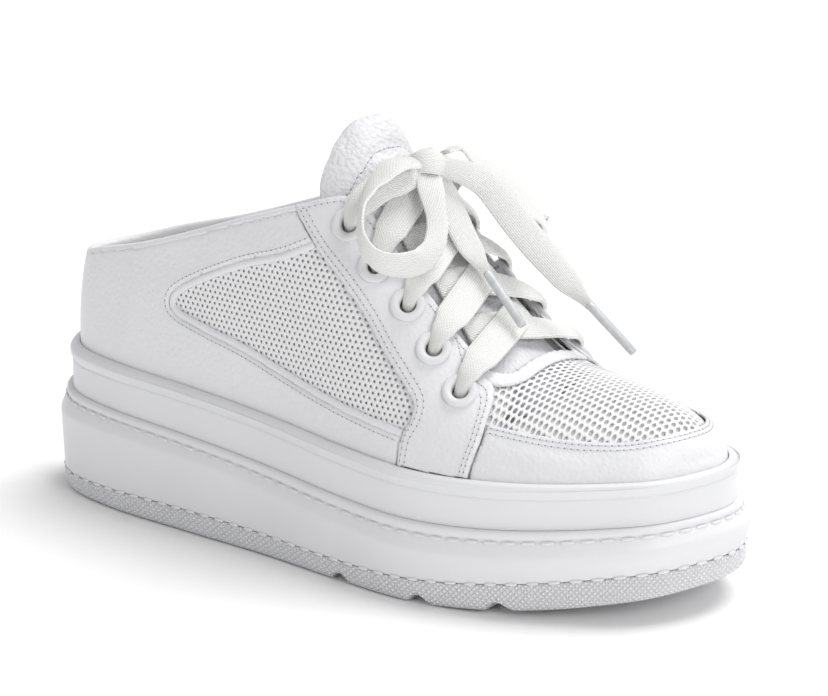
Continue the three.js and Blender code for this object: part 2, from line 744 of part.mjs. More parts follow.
const loopInnerRoute = [
  { at: [20.6, 7.0, 125.8], face: [-0.3, 0.2, 0.9] },
  { at: [22.4, 12.2, 126.8], face: [0.0, 0.2, 0.95] },
  { at: [27.4, 15.4, 123.2], face: [0.4, 0.1, 0.9] },
  { at: [33.8, 18.4, 118.8], face: [0.6, 0.0, 0.8] },
  { at: [40.0, 20.4, 113.0], face: [0.7, 0.0, 0.7] },
  { at: [45.4, 21.8, 107.6], face: [0.8, 0.1, 0.5] },
  { at: [48.2, 23.0, 103.6], face: [0.7, 0.5, 0.0] },
  { at: [46.2, 24.2, 101.8], face: [0.0, 0.6, -0.8] },
  { at: [41.0, 23.8, 104.8], face: [-0.5, 0.4, -0.8] },
  { at: [34.6, 21.2, 110.0], face: [-0.6, 0.3, -0.7] },
  { at: [28.4, 17.2, 114.4], face: [-0.5, 0.3, -0.8] },
  { at: [25.0, 11.6, 119.0], face: [-0.5, 0.3, -0.8] },
  { at: [22.6, 7.2, 121.6], face: [-0.5, 0.2, -0.8] }
]
const endInnerRoute = [
  { at: [25.2, 2.2, 122.4], face: [0.5, -0.7, 0.5] },
  { at: [29.9, 5.2, 121.4], face: [0.5, -0.75, 0.4] },
  { at: [35.1, 8.6, 118.2], face: [0.5, -0.75, 0.4] },
  { at: [40.2, 10.6, 112.6], face: [0.5, -0.75, 0.4] },
  { at: [45.6, 12.6, 105.6], face: [0.5, -0.75, 0.4] },
  { at: [51.4, 14.6, 98.9], face: [0.5, -0.75, 0.4] },
  { at: [57.6, 16.6, 92.3], face: [0.5, -0.75, 0.4] },
  { at: [63.7, 18.2, 86.3], face: [0.5, -0.75, 0.4] },
  { at: [68.3, 19.2, 82.0], face: [0.5, -0.75, 0.4] }
]

const routeGeometry = (route, steps) => {
  return laceGeometry(route.map(({ at }) => vector(at)), route.map(({ face }) => vector(face)), steps)
}

function knotGeometry() {
  const geometry = new THREE.SphereGeometry(1, 10, 6)
  geometry.scale(knotRadii.x, knotRadii.y, knotRadii.z)
  return geometry.translate(knotCentre.x, knotCentre.y, knotCentre.z)
}

// A hard tip on the end of a lace, in line with its last stretch.
function agletGeometry(route) {
  const [before, end] = route.slice(-2).map(({ at }) => vector(at))
  const direction = end.clone().sub(before).normalize()
  const centre = end.clone().addScaledVector(direction, gap + agletLength / 2)
  const geometry = new THREE.CylinderGeometry(agletDiameter / 2, agletDiameter / 2, agletLength, 8)
  geometry.applyQuaternion(new THREE.Quaternion().setFromUnitVectors(new THREE.Vector3(0, 1, 0), direction))
  return geometry.translate(centre.x, centre.y, centre.z)
}

// The assembly.
const shoe = new THREE.Group()

function addPiece(name, shape, colour, roughness) {
  const geometry = shape.isBufferGeometry ? shape : geometryFrom(shape)
  const material = new THREE.MeshStandardMaterial({ color: colour, roughness, metalness: 0 })
  const mesh = new THREE.Mesh(geometry, material)
  mesh.name = name
  shoe.add(mesh)
}

const white = 0xf3f3f7
const leather = 0xf5f5f8
const cloth = 0xefefef

addPiece('outsole', outsoleSolid(), white, 0.7)
addPiece('midsole', midsoleSolid(), white, 0.55)
addPiece('cup_wall', cupSolid(), white, 0.5)
addPiece('insole', insoleSolid(), 0xd9b48c, 0.8)
addPiece('upper', upper, cloth, 0.9)
addPiece('quarter', quarter, leather, 0.45)
addPiece('toe_cap', toeCap, leather, 0.45)
addPiece('eyestay_outer', eyestays[0], leather, 0.45)
addPiece('eyestay_inner', eyestays[eyestays.length - 1], leather, 0.45)
addPiece('tongue', tongueSolid(), leather, 0.55)

outerEyelets.forEach((place, i) => addPiece(`eyelet_outer_${i + 1}`, eyeletGeometry(place), white, 0.3))
innerEyelets.forEach((place, i) => addPiece(`eyelet_inner_${i + 1}`, eyeletGeometry(place), white, 0.3))

for (let i = 1; i < eyeletStations.length; i++) {
  const overStrap = crossingSolid(outerEyelets[i], outerEyelets[i - 1], -1)
  const underStrap = crossingSolid(outerEyelets[i], outerEyelets[i - 1], 1)
  addPiece(`lace_crossing_${i}`, overStrap.add(underStrap), cloth, 0.9)
}

addPiece('lace_top_outer', topStretch(outerEyelets[0], -1), cloth, 0.9)
addPiece('lace_top_inner', topStretch(outerEyelets[0], 1), cloth, 0.9)
addPiece('lace_knot', knotGeometry(), cloth, 0.9)
addPiece('lace_loop_outer', routeGeometry(loopOuterRoute, 20), cloth, 0.9)
addPiece('lace_loop_inner', routeGeometry(loopInnerRoute, 20), cloth, 0.9)
addPiece('lace_end_outer', routeGeometry(endOuterRoute, 6), cloth, 0.9)
addPiece('lace_end_inner', routeGeometry(endInnerRoute, 12), cloth, 0.9)
addPiece('aglet_outer', agletGeometry(endOuterRoute), 0xdde1e4, 0.25)
addPiece('aglet_inner', agletGeometry(endInnerRoute), 0xdde1e4, 0.25)

export default shoe
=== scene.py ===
# Looks of a white platform sneaker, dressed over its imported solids. Lengths in the tables and
# functions are millimetres, like the solids' own sizes, and every mesh is made in metres.
import bmesh
import bpy
import numpy as np
from math import cos, pi, radians, sin
from mathutils import Matrix, Vector


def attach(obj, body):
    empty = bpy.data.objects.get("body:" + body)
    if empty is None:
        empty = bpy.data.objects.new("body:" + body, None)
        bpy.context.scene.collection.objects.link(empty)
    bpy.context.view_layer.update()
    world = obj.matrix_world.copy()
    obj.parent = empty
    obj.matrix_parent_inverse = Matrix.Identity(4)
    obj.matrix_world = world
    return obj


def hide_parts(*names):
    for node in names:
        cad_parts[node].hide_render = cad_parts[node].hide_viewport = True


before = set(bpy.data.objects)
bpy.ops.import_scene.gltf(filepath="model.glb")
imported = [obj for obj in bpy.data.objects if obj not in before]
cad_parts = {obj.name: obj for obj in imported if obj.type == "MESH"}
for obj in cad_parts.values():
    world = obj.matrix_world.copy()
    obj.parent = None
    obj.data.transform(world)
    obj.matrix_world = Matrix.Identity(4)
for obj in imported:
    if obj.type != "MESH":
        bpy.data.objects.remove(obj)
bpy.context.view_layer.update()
MM = 0.001

# Camera.
# It stands at the photograph's angle to the shoe: a little above the floor, ahead of the outer side.
camera_turn = radians(37.53)
camera_rise = radians(14.78)
camera_target = Vector((0.99, 17.64, 58.35)) * MM
camera_reach = 1.2
camera_back = Vector(
    (sin(camera_turn) * cos(camera_rise), -cos(camera_turn) * cos(camera_rise), sin(camera_rise))
)


def new_object(name, data):
    """An object made of the given data, standing in the scene."""
    thing = bpy.data.objects.new(name, data)
    bpy.context.scene.collection.objects.link(thing)
    return thing


camera_data = bpy.data.cameras.new("camera")
camera_data.sensor_width = 36
camera_data.lens = 163.8
camera = new_object("camera", camera_data)
camera.location = camera_target + camera_back * camera_reach
camera.rotation_euler = camera_back.to_track_quat("Z", "Y").to_euler()
bpy.context.scene.camera = camera

# Bow.
# A flat woven lace, 9.7 mm wide, tied in a soft bow of two loops and two ends. It is spun polyester in
# plain weave, limp, and each end is sealed in a tip of clear film.
LACE_WIDE = 9.7
LACE_THICK = 1.4
LACE_WHITE = (0.90, 0.90, 0.885, 1)


def ease_between(p1, p2, start, end, t):
    """The curve between two points that leaves and arrives by the given slopes."""
    return p1 + start * t + (3 * (p2 - p1) - 2 * start - end) * t**2 + (2 * (p1 - p2) + start + end) * t**3


def curve_between(p0, p1, p2, p3, roots, t):
    """The curve between the middle two of four points, by the square roots of the spans between them."""
    a, b, c = roots
    start = ((p1 - p0) / a - (p2 - p0) / (a + b) + (p2 - p1) / b) * b
    end = ((p2 - p1) / b - (p3 - p1) / (b + c) + (p3 - p2) / c) * b
    return ease_between(p1, p2, start, end, t)


def walked_along(path):
    """How far along a path each of its points lies."""
    return np.concatenate([[0], np.cumsum(np.linalg.norm(np.diff(path, axis=0), axis=1))])


def read_at(distances, walked, values):
    """Values given along a path, read off at other distances."""
    return np.stack([np.interp(distances, walked, values[:, axis]) for axis in range(3)], 1)


def smooth_route(points, count):
    """Points evenly spaced along a smooth curve through the given ones."""
    knots = np.array(points, float)
    knots = np.vstack([2 * knots[0] - knots[1], knots, 2 * knots[-1] - knots[-2]])
    t = np.linspace(0, 1, 24, endpoint=False)[:, None]
    fine = []
    for four in zip(knots, knots[1:], knots[2:], knots[3:]):
        roots = [max(np.linalg.norm(end - start), 1e-6) ** 0.5 for start, end in zip(four, four[1:])]
        fine.append(curve_between(*four, roots, t))
    fine = np.vstack([*fine, knots[-2:-1]])
    walked = walked_along(fine)
    return read_at(np.linspace(0, walked[-1], count), walked, fine)


def spread(values, count):
    """The given values eased evenly over count places."""
    values = np.array(values, float)
    at = np.linspace(0, len(values) - 1, count)
    low = np.minimum(at.astype(int), len(values) - 2)
    part = at - low
    part = (part * part * (3 - 2 * part)).reshape(-1, *[1] * (values.ndim - 1))
    return values[low] * (1 - part) + values[low + 1] * part


def unit(vectors):
    return vectors / np.maximum(np.linalg.norm(vectors, axis=-1, keepdims=True), 1e-9)


def new_piece(name, points, faces, uvs=None):
    """A smooth mesh object from points in millimetres, with one UV for each point where given."""
    mesh = bpy.data.meshes.new(name)
    mesh.from_pydata((np.asarray(points) * MM).tolist(), [], [tuple(map(int, face)) for face in faces])
    if uvs is not None:
        corners = np.empty(len(mesh.loops), int)
        mesh.loops.foreach_get("vertex_index", corners)
        mesh.uv_layers.new(name="place").data.foreach_set("uv", np.asarray(uvs)[corners].ravel())
    mesh.polygons.foreach_set("use_smooth", [True] * len(mesh.polygons))
    mesh.validate()
    return new_object(name, mesh)


def ring_faces(rows, around, closed=False):
    """Faces between rings of points, and from the last ring back to the first where closed."""
    faces = []
    for i in range(rows if closed else rows - 1):
        low, high = i * around, (i + 1) % rows * around
        faces += [(low + j, low + (j + 1) % around, high + (j + 1) % around, high + j) for j in range(around)]
    return faces


def cap_faces(first, last, around):
    """Faces over the first and the last of some rings of points."""
    low, high = (tuple(row * around + j for j in range(around)) for row in (first, last))
    return [low[::-1], high]


def circle(around):
    return 2 * pi * np.arange(around) / around


def flat_round(around, wide_power, high_power):
    """The places across and through of points round a flattened section, from -1 to 1."""
    angle = circle(around)
    across = np.sign(np.cos(angle)) * np.abs(np.cos(angle)) ** wide_power
    return across, np.sign(np.sin(angle)) * np.abs(np.sin(angle)) ** high_power


def lace_band(name, points, faces, count, wide=(1, 1), thick=(1, 1), cup=(0.5, 0.5)):
    """A length of flat lace along a route: its broad face looks the given ways, and it cups a little."""
    route = smooth_route(points, count)
    along = unit(np.gradient(route, axis=0))
    face = spread(faces, count)
    face = unit(face - (face * along).sum(1, keepdims=True) * along)
    side = np.cross(along, face)
    around = 20
    across, through = flat_round(around, 0.55, 0.8)
    half_wide = LACE_WIDE / 2 * spread(wide, count)[:, None]
    half_thick = LACE_THICK / 2 * spread(thick, count)[:, None]
    bow = spread(cup, count)[:, None] * (0.5 - across[None, :] ** 2)
    height = half_thick * through[None, :] + bow
    out = side[:, None] * (half_wide * across)[..., None]
    rings = route[:, None] + out + face[:, None] * height[..., None]
    length = np.linalg.norm(np.diff(route, axis=0), axis=1).sum()
    u = np.repeat(np.linspace(0, length, count)[:, None], around, 1)
    v = np.repeat((LACE_WIDE / 2 * across)[None, :], count, 0)
    sides = ring_faces(count, around) + cap_faces(0, count - 1, around)
    piece = new_piece(name, rings.reshape(-1, 3), sides, np.stack([u, v], -1).reshape(-1, 2))
    return piece, route, length


def new_group(name, numbers, outputs):
    """An empty shader group that takes a place and named numbers, gives numbers, and its two end nodes."""
    group = bpy.data.node_groups.new(name, "ShaderNodeTree")
    group.interface.new_socket("Place", in_out="INPUT", socket_type="NodeSocketVector")
    for label, value in numbers:
        group.interface.new_socket(label, in_out="INPUT", socket_type="NodeSocketFloat").default_value = value
    for label in outputs:
        group.interface.new_socket(label, in_out="OUTPUT", socket_type="NodeSocketFloat")
    return group, group.nodes.new("NodeGroupInput"), group.nodes.new("NodeGroupOutput")


def feed(tree, socket, value):
    """Links a socket to another one, or sets it to a number."""
    if isinstance(value, bpy.types.NodeSocket):
        tree.links.new(value, socket)
    elif value is not None:
        socket.default_value = value


def math_node(tree, operation, a, b=None, c=None):
    """The result of one sum, product or other step on numbers or sockets."""
    node = tree.nodes.new("ShaderNodeMath")
    node.operation = operation
    for socket, value in zip(node.inputs, (a, b, c)):
        feed(tree, socket, value)
    return node.outputs[0]


# Height of a plain weave laid along the lace's UV: ribs along it, crossed by finer picks that go over
# and under by turns. Its shade output is painted shade, darker where the threads dip.
weave_group, weave_in, weave_out = new_group(
    "plain weave", [("Rib", 1.0), ("Pick", 0.8)], ["Height", "Shade"]
)
split = weave_group.nodes.new("ShaderNodeSeparateXYZ")
weave_group.links.new(weave_in.outputs["Place"], split.inputs[0])
pick_turn = math_node(weave_group, "DIVIDE", split.outputs[0], weave_in.outputs["Pick"])
rib_turn = math_node(weave_group, "DIVIDE", split.outputs[1], weave_in.outputs["Rib"])
pick_wave = math_node(weave_group, "SINE", math_node(weave_group, "MULTIPLY", pick_turn, pi))
rib_wave = math_node(weave_group, "SINE", math_node(weave_group, "MULTIPLY", rib_turn, pi))
crossed = math_node(weave_group, "MULTIPLY", pick_wave, rib_wave)
over = math_node(weave_group, "ABSOLUTE", rib_wave)
weave_height = math_node(weave_group, "ADD", math_node(weave_group, "MULTIPLY", crossed, 0.5), over)
weave_group.links.new(weave_height, weave_out.inputs["Height"])
# Painted shade: the colour darkens with the weave's height, in the low places between the threads.
painted_weave_shade = math_node(weave_group, "MULTIPLY_ADD", weave_height, 0.10, 0.90)
weave_group.links.new(painted_weave_shade, weave_out.inputs["Shade"])


def new_material(name, colour, roughness):
    """A material with one surface shader, and the tree and shader to add to."""
    material = bpy.data.materials.new(name)
    material.use_nodes = True
    tree = material.node_tree
    surface = tree.nodes["Principled BSDF"]
    surface.inputs["Base Color"].default_value = colour
    surface.inputs["Roughness"].default_value = roughness
    return material, tree, surface


def tint(tree, surface, colour, shade):
    """Feeds the shader's colour with the plain one times a shade that changes over the surface."""
    mix = tree.nodes.new("ShaderNodeMix")
    mix.data_type = "RGBA"
    mix.blend_type = "MULTIPLY"
    mix.inputs["Factor"].default_value = 1
    mix.inputs["A"].default_value = colour
    tree.links.new(shade, mix.inputs["B"])
    tree.links.new(mix.outputs["Result"], surface.inputs["Base Color"])


def relief(tree, surface, height, depth, strength=1.0):
    """Bumps the surface by a height that is 0 to 1, in millimetres of depth."""
    bump = tree.nodes.new("ShaderNodeBump")
    bump.inputs["Distance"].default_value = depth * MM
    bump.inputs["Strength"].default_value = strength
    tree.links.new(height, bump.inputs["Height"])
    before = surface.inputs["Normal"].links
    if before:
        tree.links.new(before[0].from_socket, bump.inputs["Normal"])
    tree.links.new(bump.outputs["Normal"], surface.inputs["Normal"])


def noise_at(tree, vector, scale, detail=3.0, roughness=0.5):
    noise = tree.nodes.new("ShaderNodeTexNoise")
    feed(tree, noise.inputs["Scale"], scale)
    noise.inputs["Detail"].default_value = detail
    noise.inputs["Roughness"].default_value = roughness
    tree.links.new(vector, noise.inputs["Vector"])
    return noise.outputs["Fac"]


def noisy_material(name, colour, roughness, noise, shade, depth):
    """A material whose shade and height follow one fine noise, given by its scale and detail."""
    material, tree, surface = new_material(name, colour, roughness)
    places = tree.nodes.new("ShaderNodeTexCoord")
    grain = noise_at(tree, places.outputs["Object"], *noise)
    tint(tree, surface, colour, math_node(tree, "MULTIPLY_ADD", grain, *shade))
    relief(tree, surface, grain, depth)
    return material


lace_cloth, tree, surface = new_material("woven lace", LACE_WHITE, 0.85)
surface.inputs["Sheen Weight"].default_value = 0.25
surface.inputs["Sheen Roughness"].default_value = 0.5
places = tree.nodes.new("ShaderNodeTexCoord")
weave = tree.nodes.new("ShaderNodeGroup")
weave.node_tree = weave_group
weave.inputs["Rib"].default_value = 0.64
weave.inputs["Pick"].default_value = 0.6
tree.links.new(places.outputs["UV"], weave.inputs["Place"])
fuzz = noise_at(tree, places.outputs["Object"], 2600)
# The lace's colour takes the weave's painted shade, darker in the dips between threads.
tint(tree, surface, LACE_WHITE, weave.outputs["Shade"])
relief(tree, surface, weave.outputs["Height"], 0.15)
relief(tree, surface, fuzz, 0.12, 0.7)

# The routes are the solids' own, with the way that the broad face looks at each point.
loop_outer_route = [
    (20.2, -6.8, 125.4), (18.6, -14.4, 125.8), (16.8, -22.0, 121.2), (17.1, -28.5, 115.4),
    (19.2, -32.8, 108.7), (22.6, -34.4, 103.3), (27.5, -33.3, 99.9), (32.2, -29.7, 98.9),
    (35.6, -24.6, 99.7), (36.2, -18.6, 103.2), (33.6, -13.0, 108.2), (29.0, -8.6, 113.6),
    (25.0, -5.4, 118.6),
]
loop_outer_faces = [
    (0.2, -0.3, 0.9), (0.1, -0.4, 0.9), (-0.2, -0.75, 0.6), (-0.5, -0.8, 0.3), (-0.6, -0.75, -0.1),
    (-0.3, -0.8, -0.5), (0.1, -0.8, -0.6), (0.4, -0.75, -0.5), (0.65, -0.65, -0.35), (0.8, -0.5, 0.0),
    (0.75, -0.4, 0.4), (0.6, -0.4, 0.65), (0.5, -0.4, 0.75),
]
end_outer_route = [
    (24.4, 1.0, 116.6), (28.2, 0.2, 111.9), (32.0, -0.6, 107.0), (36.2, -1.2, 101.6), (40.6, -1.6, 96.8),
    (44.8, -1.9, 92.6),
]
end_outer_faces = [(0.6, -0.3, 0.75), (0.65, -0.35, 0.65), (0.65, -0.35, 0.65)]
loop_inner_route = [
    (20.6, 7.0, 125.8), (22.4, 12.2, 126.8), (27.4, 15.4, 123.2), (33.8, 18.4, 118.8), (40.0, 20.4, 113.0),
    (45.4, 21.8, 107.6), (48.2, 23.0, 103.6), (46.2, 24.2, 101.8), (41.0, 23.8, 104.8), (34.6, 21.2, 110.0),
    (28.4, 17.2, 114.4), (25.0, 11.6, 119.0), (22.6, 7.2, 121.6),
]
loop_inner_faces = [
    (-0.3, 0.2, 0.9), (0.0, 0.2, 0.95), (0.4, 0.1, 0.9), (0.6, 0.0, 0.8), (0.7, 0.0, 0.7), (0.8, 0.1, 0.5),
    (0.7, 0.5, 0.0), (0.0, 0.6, -0.8), (-0.5, 0.4, -0.8), (-0.6, 0.3, -0.7), (-0.5, 0.3, -0.8),
    (-0.5, 0.3, -0.8), (-0.5, 0.2, -0.8),
]
end_inner_route = [
    (25.2, 2.2, 122.4), (29.9, 5.2, 121.4), (35.1, 8.6, 118.2), (40.2, 10.6, 112.6), (45.6, 12.6, 105.6),
    (51.4, 14.6, 98.9), (57.6, 16.6, 92.3), (63.7, 18.2, 86.3), (68.3, 19.2, 82.0),
]
end_inner_faces = [(0.5, -0.7, 0.5), (0.5, -0.75, 0.4), (0.5, -0.75, 0.4)]

# Each tip is clear film rolled tight round the lace, 19 mm long, with the weave showing white inside.
tip_film = noisy_material("tip film", (0.62, 0.63, 0.64, 1), 0.22, (500, 2), (0.4, 0.7), 0.15)
surface = tip_film.node_tree.nodes["Principled BSDF"]
surface.inputs["Coat Weight"].default_value = 0.6
surface.inputs["Coat Roughness"].default_value = 0.1


def lace_tip(name, route, node):
    """A rolled tip in line with the last stretch of a route, a little flattened, with a crimped mouth."""
    end = np.array(route[-1], float)
    along = unit(end - np.array(route[-2], float))
    side = unit(np.cross(along, (0, 0, 1.0)))
    up = np.cross(side, along)
    marks = [
        (-1.5, 1.2), (-1.2, 1.62), (0.2, 1.7), (8, 1.66), (16, 1.62), (18.6, 1.6), (19.2, 1.35), (19.3, 0.5),
    ]
    around = 24
    angle = circle(around)[:, None]
    round_way = side * np.cos(angle)
    rings = [
        end + along * (0.3 + reach) + round_way * radius + up * np.sin(angle) * radius * 0.8
        for reach, radius in marks
    ]
    sides = ring_faces(len(marks), around) + cap_faces(0, len(marks) - 1, around)
    piece = new_piece(name, np.vstack(rings), [face[::-1] for face in sides])
    piece.data.materials.append(tip_film)
    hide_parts(node)
    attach(piece, "root")
    return piece


tip_outer = lace_tip("lace_tip_outer", end_outer_route, "aglet_outer")
tip_inner = lace_tip("lace_tip_inner", end_inner_route, "aglet_inner")


def join_pieces(name, pieces):
    """One piece made of several, under a new name."""
    joined = bmesh.new()
    for piece in pieces:
        joined.from_mesh(piece.data)
    mesh = pieces[0].data
    joined.to_mesh(mesh)
    joined.free()
    for piece in pieces[1:]:
        bpy.data.objects.remove(piece)
    pieces[0].name = name
    return pieces[0]


def edit_mesh(piece, *changes):
    """Opens a piece's mesh, makes each change and puts it back."""
    opened = bmesh.new()
    opened.from_mesh(piece.data)
    for change in changes:
        change(opened)
    opened.to_mesh(piece.data)
    opened.free()


def drop_loose(opened):
    bmesh.ops.delete(opened, geom=[vert for vert in opened.verts if not vert.link_faces], context="VERTS")


def turn_outward(opened):
    bmesh.ops.recalc_face_normals(opened, faces=opened.faces)


# The knot is the lace wrapped once round itself and pulled soft: a plump, folded bundle in a loose wrap.
knot_middle = np.array((19.6, 0.0, 123.3))
polar, azimuth = np.meshgrid(
    np.linspace(0, pi, 41), np.linspace(0, 2 * pi, 64, endpoint=False), indexing="ij"
)
folds = 1 + 0.05 * np.sin(5 * azimuth + 2.5 * np.cos(polar)) + 0.03 * np.sin(9 * azimuth - 3 * np.cos(polar))
lean = unit(np.array((0.35, -0.55, -0.75)))
flank = unit(np.cross(lean, camera_back))
front = np.cross(flank, lean)
knot_points = (
    knot_middle
    + lean * (5.6 * np.cos(polar) * (1 + 0.04 * np.cos(3 * azimuth)))[..., None]
    + flank * (4.9 * np.sin(polar) * np.cos(azimuth) * folds)[..., None]
    + front * (4.5 * np.sin(polar) * np.sin(azimuth) * folds)[..., None]
)
rows, around = polar.shape
knot_faces = ring_faces(rows - 1, around)[around:] + cap_faces(1, rows - 2, around)
knot_uvs = np.stack([polar * 5.2, azimuth * 5.0], -1).reshape(-1, 2)
knot = new_piece("knot", knot_points.reshape(-1, 3), knot_faces, knot_uvs)
edit_mesh(knot, drop_loose, turn_outward)
wrap_turn = np.linspace(-0.4, 2 * pi - 0.1, 15)
wrap_out = flank * np.cos(wrap_turn)[:, None] * 1.05 + front * np.sin(wrap_turn)[:, None]
wrap_away = wrap_out * (4.2 + 0.12 * wrap_turn)[:, None]
wrap_route = knot_middle + wrap_away + lean * (0.9 * np.sin(wrap_turn))[:, None]
wrap, _, _ = lace_band(
    "wrap", wrap_route, wrap_out, 80, wide=(0.7, 0.86, 0.8, 0.9, 0.72), thick=(1, 1, 1), cup=(0.9, 1.1, 0.9)
)
knot = join_pieces("knot", [knot, wrap])
knot.data.materials.append(lace_cloth)
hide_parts("lace_knot")
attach(knot, "root")

# Each half of the bow is one length of lace: out of the knot, round its loop, back through the knot and
# down its end to the tip.
bow_halves = [
    ("bow_outer", loop_outer_route, loop_outer_faces, end_outer_route, end_outer_faces, tip_outer,
     ("lace_loop_outer", "lace_end_outer")),
    ("bow_inner", loop_inner_route, loop_inner_faces, end_inner_route, end_inner_faces, tip_inner,
     ("lace_loop_inner", "lace_end_inner")),
]
for name, loop, loop_faces, end, end_faces, tip, nodes in bow_halves:
    points = [*loop, (21.4, loop[0][1] * 0.2, 121.6), *end]
    band, route, length = lace_band(
        name, points, [*loop_faces, *end_faces[:1] * len(end), end_faces[-1]], 200,
        wide=(0.75, 1, 1, 1, 1, 1, 0.75, 0.7, 0.9, 1, 1, 0.9, 0.33),
        thick=(1, 1, 1, 1, 1.2), cup=(0.6, 0.4, 0.6),
    )
    band.data.materials.append(lace_cloth)
    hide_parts(*nodes)
    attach(band, "root")

# Sole.
# A cupped platform: a rubber outsole, a thick foamed midsole with a stepped side, and a side wall with a
# rolled bead that cups the upper. All are injection moulded in a cool white, with dashes like stitches.
SOLE_LONG = 260.0
SOLE_WIDE = 97.3
HEEL_HIGH = 49.2
TOE_SPRING = 10.6
SPRING_START = 0.67
GAP = 0.3
plan_outer = [
    (0.00, 0.07), (0.02, -0.23), (0.07, -0.495), (0.16, -0.66), (0.30, -0.755), (0.44, -0.83), (0.57, -0.94),
    (0.68, -1.00), (0.80, -0.895), (0.90, -0.66), (0.97, -0.37), (1.00, 0.17),
]
plan_inner = [
    (0.02, 0.375), (0.07, 0.64), (0.16, 0.79), (0.30, 0.83), (0.44, 0.82), (0.57, 0.885), (0.68, 0.975),
    (0.80, 1.00), (0.90, 0.845), (0.97, 0.56),
]
side_along = (0.00, 0.35, 0.69, 1.00)
side_lines = {
    "rim": (1.000, 0.939, 0.817, 0.902),
    "bead": (0.886, 0.848, 0.722, 0.833),
    "ledge": (0.697, 0.628, 0.518, 0.646),
    "groove": (0.640, 0.573, 0.453, 0.598),
    "edge": (0.520, 0.486, 0.346, 0.504),
    "tread": (0.114, 0.158, 0.158, 0.364),
}
plan_knots = np.array(
    [((along - 0.5) * SOLE_LONG, side * SOLE_WIDE / 2) for along, side in plan_outer + plan_inner[::-1]]
)


def plan_curve(turn):
    """The widest line of the sole seen from above, from the heel round by the outer side."""
    place = np.asarray(turn, float) % 1.0 * len(plan_knots)
    knot = np.floor(place).astype(int)
    four = [plan_knots[(knot + step) % len(plan_knots)] for step in (-1, 0, 1, 2)]
    roots = [np.linalg.norm(end - start, axis=-1, keepdims=True) ** 0.5 for start, end in zip(four, four[1:])]
    return curve_between(*four, roots, (place - knot)[..., None])


def plan_point(turn, inset):
    along = unit(plan_curve(turn + 1e-4) - plan_curve(turn - 1e-4))
    return plan_curve(turn) + np.stack([-along[..., 1], along[..., 0]], -1) * np.asarray(inset)[..., None]


def spline_through(along, values):
    """A smooth curve through the stations of a table, straight beyond both ends."""
    x = (np.array(along) - 0.5) * SOLE_LONG
    y = np.array(values, float)
    step = np.diff(x)
    size = len(x)
    system = np.eye(size)
    right = np.zeros(size)
    for i in range(1, size - 1):
        system[i, i - 1:i + 2] = step[i - 1], 2 * (step[i - 1] + step[i]), step[i]
        right[i] = 6 * ((y[i + 1] - y[i]) / step[i] - (y[i] - y[i - 1]) / step[i - 1])
    bend = np.linalg.solve(system, right)

    def value(place):
        place = np.asarray(place, float)
        inner = np.clip(place, x[0], x[-1])
        i = np.clip(np.searchsorted(x, inner, side="right") - 1, 0, size - 2)
        left = (x[i + 1] - inner) / step[i]
        rest = 1 - left
        curl = ((left**3 - left) * bend[i] + (rest**3 - rest) * bend[i + 1]) * step[i] ** 2 / 6
        slope = (y[i + 1] - y[i]) / step[i] + (
            (1 - 3 * left**2) * bend[i] + (3 * rest**2 - 1) * bend[i + 1]
        ) * step[i] / 6
        return left * y[i] + rest * y[i + 1] + curl + slope * (place - inner)

    return value


line = {name: spline_through(side_along, np.array(values) * HEEL_HIGH) for name, values in side_lines.items()}


def ground_height(x):
    start = (SPRING_START - 0.5) * SOLE_LONG
    return TOE_SPRING * (np.maximum(0, x - start) / (SOLE_LONG / 2 - start)) ** 2


def sole_rows(rows, turns, fine):
    """Points round the sole for a rounded profile: each row gives an inset, and a height at each place."""
    inset = np.array([np.full(len(turns), row[0], float) for row in rows])
    x = np.array([plan_point(turns, row[0])[:, 0] for row in rows])
    height = np.array([row[1](x[i]) for i, row in enumerate(rows)])
    marks = np.stack([inset, height], -1)
    marks = np.concatenate([marks[:1], marks, marks[-1:]])
    t = (np.arange(fine) / fine)[:, None, None]
    parts = []
    for p0, p1, p2, p3 in zip(marks, marks[1:], marks[2:], marks[3:]):
        small = np.minimum(np.linalg.norm(p1 - p0, axis=-1), np.linalg.norm(p2 - p1, axis=-1))[:, None]
        later = np.minimum(np.linalg.norm(p3 - p2, axis=-1), np.linalg.norm(p2 - p1, axis=-1))[:, None]
        parts.append(ease_between(p1, p2, unit(p2 - p0) * small, unit(p3 - p1) * later, t))
    profile = np.concatenate([*parts, marks[-1:]])
    level = np.concatenate([plan_point(turns, row[:, 0])[None] for row in profile])
    return np.concatenate([level, profile[..., 1:]], -1)


def sole_stack(name, rows, fine, around=360):
    """A solid of the sole from its lowest row up, with flat ends."""
    turns = np.arange(around) / around
    points = sole_rows(rows, turns, fine)
    count = len(points)
    faces = ring_faces(count, around)
    half = around // 2
    rungs = []
    for i in range(half):
        if i + 1 < half:
            rungs.append((i, i + 1, around - i - 1))
        if i > 0:
            rungs.append((i, around - i - 1, (around - i) % around))
    top = (count - 1) * around
    faces += [tuple(top + corner for corner in face) for face in rungs] + [face[::-1] for face in rungs]
    return new_piece(name, points.reshape(-1, 3), faces)


def rows_on(table):
    """Rows of a profile, from a table of insets, lines of the sole and rises above them."""
    return [(inset, lambda x, name=name, rise=rise: line[name](x) + rise) for inset, name, rise in table]


# Height of the fine grain that a mould leaves on rubber, and of the soft marks of handling.
mould_group, mould_in, mould_out = new_group(
    "mould grain", [("Grain", 1500.0), ("Marks", 22.0)], ["Height", "Shade", "Roughness"]
)
grain_noise = noise_at(mould_group, mould_in.outputs["Place"], mould_in.outputs["Grain"], 2)
mark_noise = noise_at(mould_group, mould_in.outputs["Place"], mould_in.outputs["Marks"], 4)
mould_group.links.new(grain_noise, mould_out.inputs["Height"])


def worn(group, out, wear, **levels):
    """Sends out numbers that follow the worn places, each by a share and a base."""
    for label, (share, base) in levels.items():
        group.links.new(math_node(group, "MULTIPLY_ADD", wear, share, base), out.inputs[label])


worn(mould_group, mould_out, mark_noise, Shade=(0.07, 0.95), Roughness=(0.16, 0.34))


